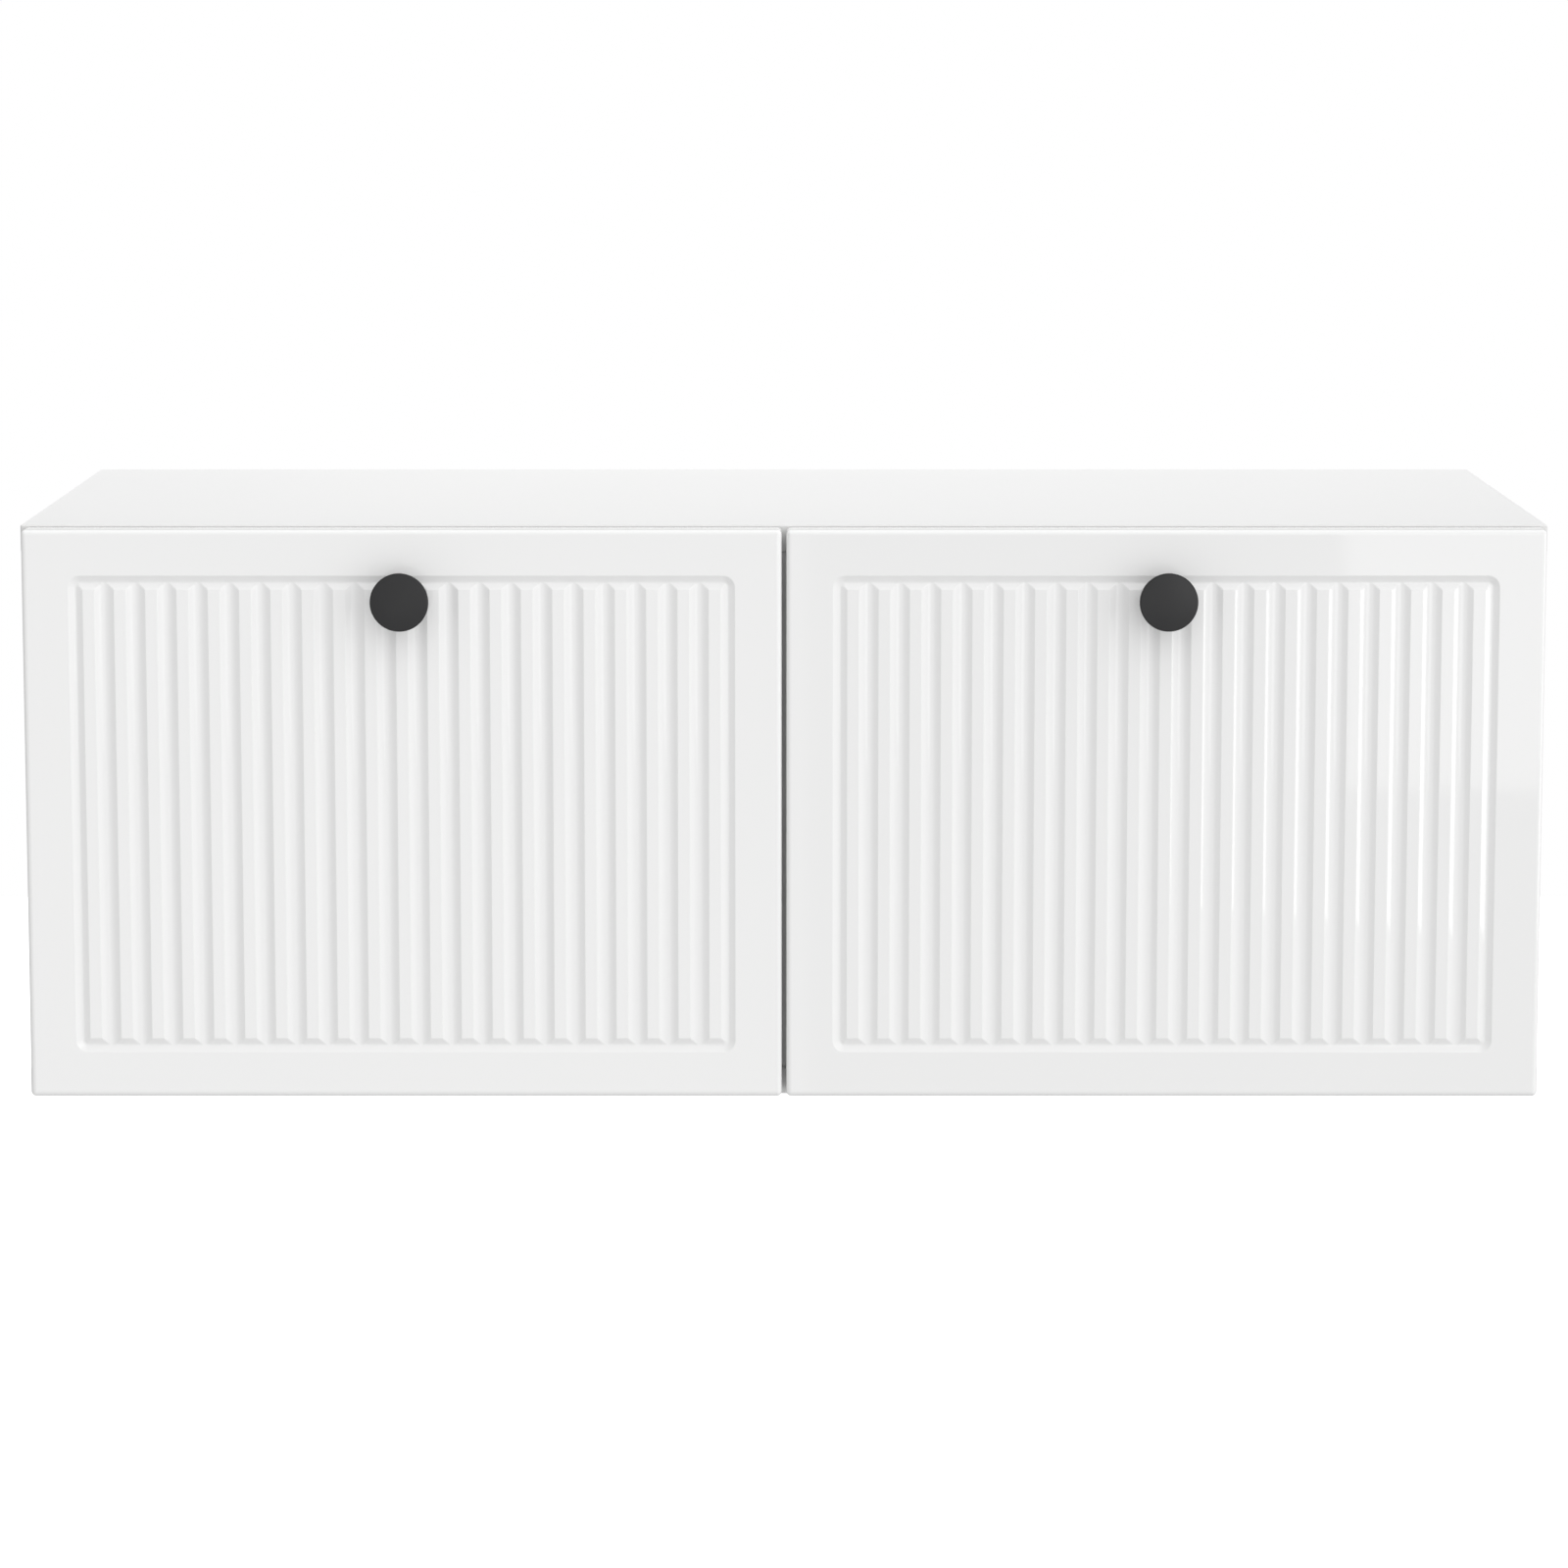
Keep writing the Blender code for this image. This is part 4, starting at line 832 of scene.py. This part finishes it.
clear, place = start_finish("soft_clear_bumper")
set_shader(clear, {
    "Base Color": place.noise(800.0, 2.0).mix(BUMPER_TINT, BUMPER_SHADE),
    "Roughness": 0.14 + place.noise(2200.0, 2.0) * 0.12,
    "Normal": place.noise(900.0, 2.0).bump(0.00002, 0.4),
    "Transmission Weight": 0.75,
    "IOR": 1.48,
})
for side in ("left", "right"):
    low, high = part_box(f"{side}_magnetic_catch")
    middle = (low + high) / 2
    case = bmesh.new()
    add_box(case, (low.x + CATCH_EAR, low.y + POLE_PROUD, low.z),
            (high.x - CATCH_EAR, high.y, high.z))
    ears = bmesh.new()
    add_box(ears, (low.x, low.y + EAR_FRONT, high.z - EAR_THICK),
            (high.x, high.y - EAR_BACK, high.z))
    combine(case, ears, "UNION")
    piece = add_piece(f"{side}_catch_case", case, white_plastic, "carcass")
    ease_edges(piece, CASE_EDGE, 3)
    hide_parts(f"{side}_magnetic_catch")

    poles = bmesh.new()
    for level in (middle.z - POLE_SPACING, middle.z + POLE_SPACING):
        add_box(poles, (low.x + CATCH_EAR + POLE_INSET, low.y, level - POLE_THICK / 2),
                (high.x - CATCH_EAR - POLE_INSET, low.y + EAR_FRONT, level + POLE_THICK / 2))
    piece = add_piece(f"{side}_catch_poles", poles, zinc, "carcass")
    ease_edges(piece, POLE_EDGE)

    screws = bmesh.new()
    for x in (low.x + CATCH_EAR / 2, high.x - CATCH_EAR / 2):
        foot = (x, middle.y + (EAR_FRONT - EAR_BACK) / 2, high.z - EAR_THICK - SEAT)
        cross_head(screws, foot, (0, 0, -1), *CATCH_SCREW)
    piece = add_piece(f"{side}_catch_screws", screws, zinc, "carcass")

    refined(f"{side}_strike_plate", nickel, STRIKE_EDGE)
    low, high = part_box(f"{side}_strike_plate")
    middle = (low + high) / 2
    screws = bmesh.new()
    for share in STRIKE_SCREWS:
        foot = (middle.x + share * (high.x - low.x), high.y + SEAT, middle.z)
        cross_head(screws, foot, (0, 1, 0), LEAF_SCREW_RADIUS, LEAF_SCREW_RISE)
    piece = add_piece(f"{side}_strike_screws", screws, nickel, f"{side}_flap")

    for spot in ("outer", "inner"):
        node = f"{side}_flap_{spot}_bumper"
        low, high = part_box(node)
        middle = (low + high) / 2
        radius = (high.x - low.x) / 2
        bumper = bmesh.new()
        profile = rounded(radius, high.y - low.y, BUMPER_EDGE, 5)
        turned(bumper, profile, (middle.x, low.y, middle.z), (0, 1, 0), steps=32)
        piece = add_piece(node + "_dome", bumper, clear, f"{side}_flap")
        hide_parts(node)


# -------------------------------------------------------------------------------- flap stays
# Each flap hangs on a friction stay: a zinc-plated bracket on the flap, a nickel-plated rod
# with a flat eye, and a grey plastic barrel that swivels on a screwed plate and grips the rod.

GREY_MOULDED = (0.215, 0.218, 0.224, 1.0)
STAY_PLATE = 0.002
STAY_SCREW = (0.0034, 0.0019, 0.6)
BASE_SCREWS = (-0.36, 0.36)
BRACKET_SCREWS = (-0.3, 0.3)
ROD_EDGE = 0.0003
MOULDED_EDGE = 0.0005

grey_plastic = moulded_plastic("grey_moulded_plastic", GREY_MOULDED, 0.36)
for side in ("left", "right"):
    refined(f"{side}_stay_bracket", zinc, DEBURR)
    refined(f"{side}_stay_rod", nickel, ROD_EDGE)
    refined(f"{side}_stay_collar", grey_plastic, MOULDED_EDGE, 3)
    refined(f"{side}_stay_base", zinc, DEBURR)
    refined(f"{side}_stay_barrel", grey_plastic, MOULDED_EDGE, 3)
    inward = 1 if side == "left" else -1

    low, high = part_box(f"{side}_stay_base")
    middle = (low + high) / 2
    plate_x = (low.x if inward > 0 else high.x) + inward * (STAY_PLATE + SEAT)
    screws = bmesh.new()
    for share in BASE_SCREWS:
        foot = (plate_x, middle.y, middle.z + share * (high.z - low.z))
        cross_head(screws, foot, (inward, 0, 0), *STAY_SCREW)
    piece = add_piece(f"{side}_stay_base_screws", screws, zinc, "carcass")

    low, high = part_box(f"{side}_stay_bracket")
    width = high.x - low.x
    screw_x = (low.x + 0.3 * width) if side == "left" else (high.x - 0.3 * width)
    screws = bmesh.new()
    for share in BRACKET_SCREWS:
        level = (low.z + high.z) / 2 + share * (high.z - low.z)
        cross_head(screws, (screw_x, low.y + STAY_PLATE + SEAT, level), (0, 1, 0), *STAY_SCREW)
    piece = add_piece(f"{side}_stay_bracket_screws", screws, zinc, f"{side}_flap")


# ------------------------------------------------------------------------------------ studio
# A plain pale floor well below the cabinet and a white surround. A softbox overhead and a wide
# distant light give the light; three windows are there for the gloss of the fronts and knobs.
# The camera stands a little above the cabinet and looks down on it.

FLOOR_DROP = 1.60
FLOOR_REACH = 9.0
SURROUND = 0.53
FLOOR_WHITE = (0.93, 0.93, 0.93, 1.0)
FLOOR_SHADE = (0.91, 0.91, 0.91, 1.0)
CAMERA_DOWN = 7.315

floor_bm = bmesh.new()
bmesh.ops.create_grid(floor_bm, x_segments=8, y_segments=8, size=FLOOR_REACH)
bmesh.ops.translate(floor_bm, vec=(0, 0, cad_box[0].z - FLOOR_DROP), verts=floor_bm.verts)
floor_mesh = bpy.data.meshes.new("studio_floor")
floor_bm.to_mesh(floor_mesh)
floor_bm.free()
floor_paint, place = start_finish("studio_floor_paint")
set_shader(floor_paint, {
    "Base Color": place.noise(2.0, 2.0).mix(FLOOR_WHITE, FLOOR_SHADE),
    "Roughness": 0.9,
    "Specular IOR Level": 0.1,
    "Emission Color": (1.0, 1.0, 1.0, 1.0),
    "Emission Strength": 0.45,
})
floor_mesh.materials.append(floor_paint)
floor = bpy.data.objects.new("studio_floor", floor_mesh)
bpy.context.scene.collection.objects.link(floor)
floor.visible_diffuse = False
floor.visible_glossy = False

world = bpy.data.worlds.new("white_surround")
bpy.context.scene.world = world
world.use_nodes = True
sky = Wire(world.node_tree)
seen = sky.node("LightPath", {}, {}, "Is Camera Ray")
strength = seen * (1.0 - SURROUND) + SURROUND
background = world.node_tree.nodes["Background"]
background.inputs["Color"].default_value = (1.0, 1.0, 1.0, 1.0)
sky.feed(background.inputs["Strength"], strength)


def hang(name, light, place, aim):
    """A lamp at a point, turned towards another."""
    lamp = bpy.data.objects.new(name, light)
    lamp.location = place
    lamp.rotation_euler = (Vector(aim) - Vector(place)).to_track_quat("-Z", "Y").to_euler()
    bpy.context.scene.collection.objects.link(lamp)
    return lamp


def softbox(name, place, aim, width, height, power):
    """A soft rectangular lamp, its sides in metres and its power in watts."""
    light = bpy.data.lights.new(name, "AREA")
    light.shape = "RECTANGLE"
    light.size = width
    light.size_y = height
    light.energy = power
    return hang(name, light, place, aim)


right_window = softbox("right_window", (1.46, -3.40, 0.45), (1.46, 0.0, 0.45), 1.5, 2.1, 13.2)
left_window = softbox("left_window", (-0.52, -3.40, -0.25), (-0.52, 0.0, -0.25), 1.1, 1.7, 3.0)
side_window = softbox("side_window", (1.32, -0.715, -0.15), (0.737, 0.097, -0.15), 0.566, 0.44, 2.1)
for window in (right_window, left_window, side_window):
    window.visible_diffuse = False
ceiling = softbox("ceiling_softbox", (0.0, 0.42, 1.90), (0.0, 0.42, 0.0), 1.3, 1.3, 15.0)
ceiling.visible_glossy = False
distant = bpy.data.lights.new("distant_window", "SUN")
distant.energy = 2.05
distant.angle = math.radians(110.0)
hang("distant_window", distant, (2.1, -2.5, 1.5), (0.0, 0.0, 0.0)).visible_glossy = False

lens = bpy.data.cameras.new("camera")
lens.sensor_width = 36.0
lens.lens = 112.63
lens.shift_y = -0.10
camera = bpy.data.objects.new("camera", lens)
camera.location = (0.0, -3.5733, 0.4013)
camera.rotation_euler = (math.radians(90.0 - CAMERA_DOWN), 0.0, 0.0)
bpy.context.scene.collection.objects.link(camera)
bpy.context.scene.camera = camera
bpy.context.scene.view_settings.view_transform = "Standard"
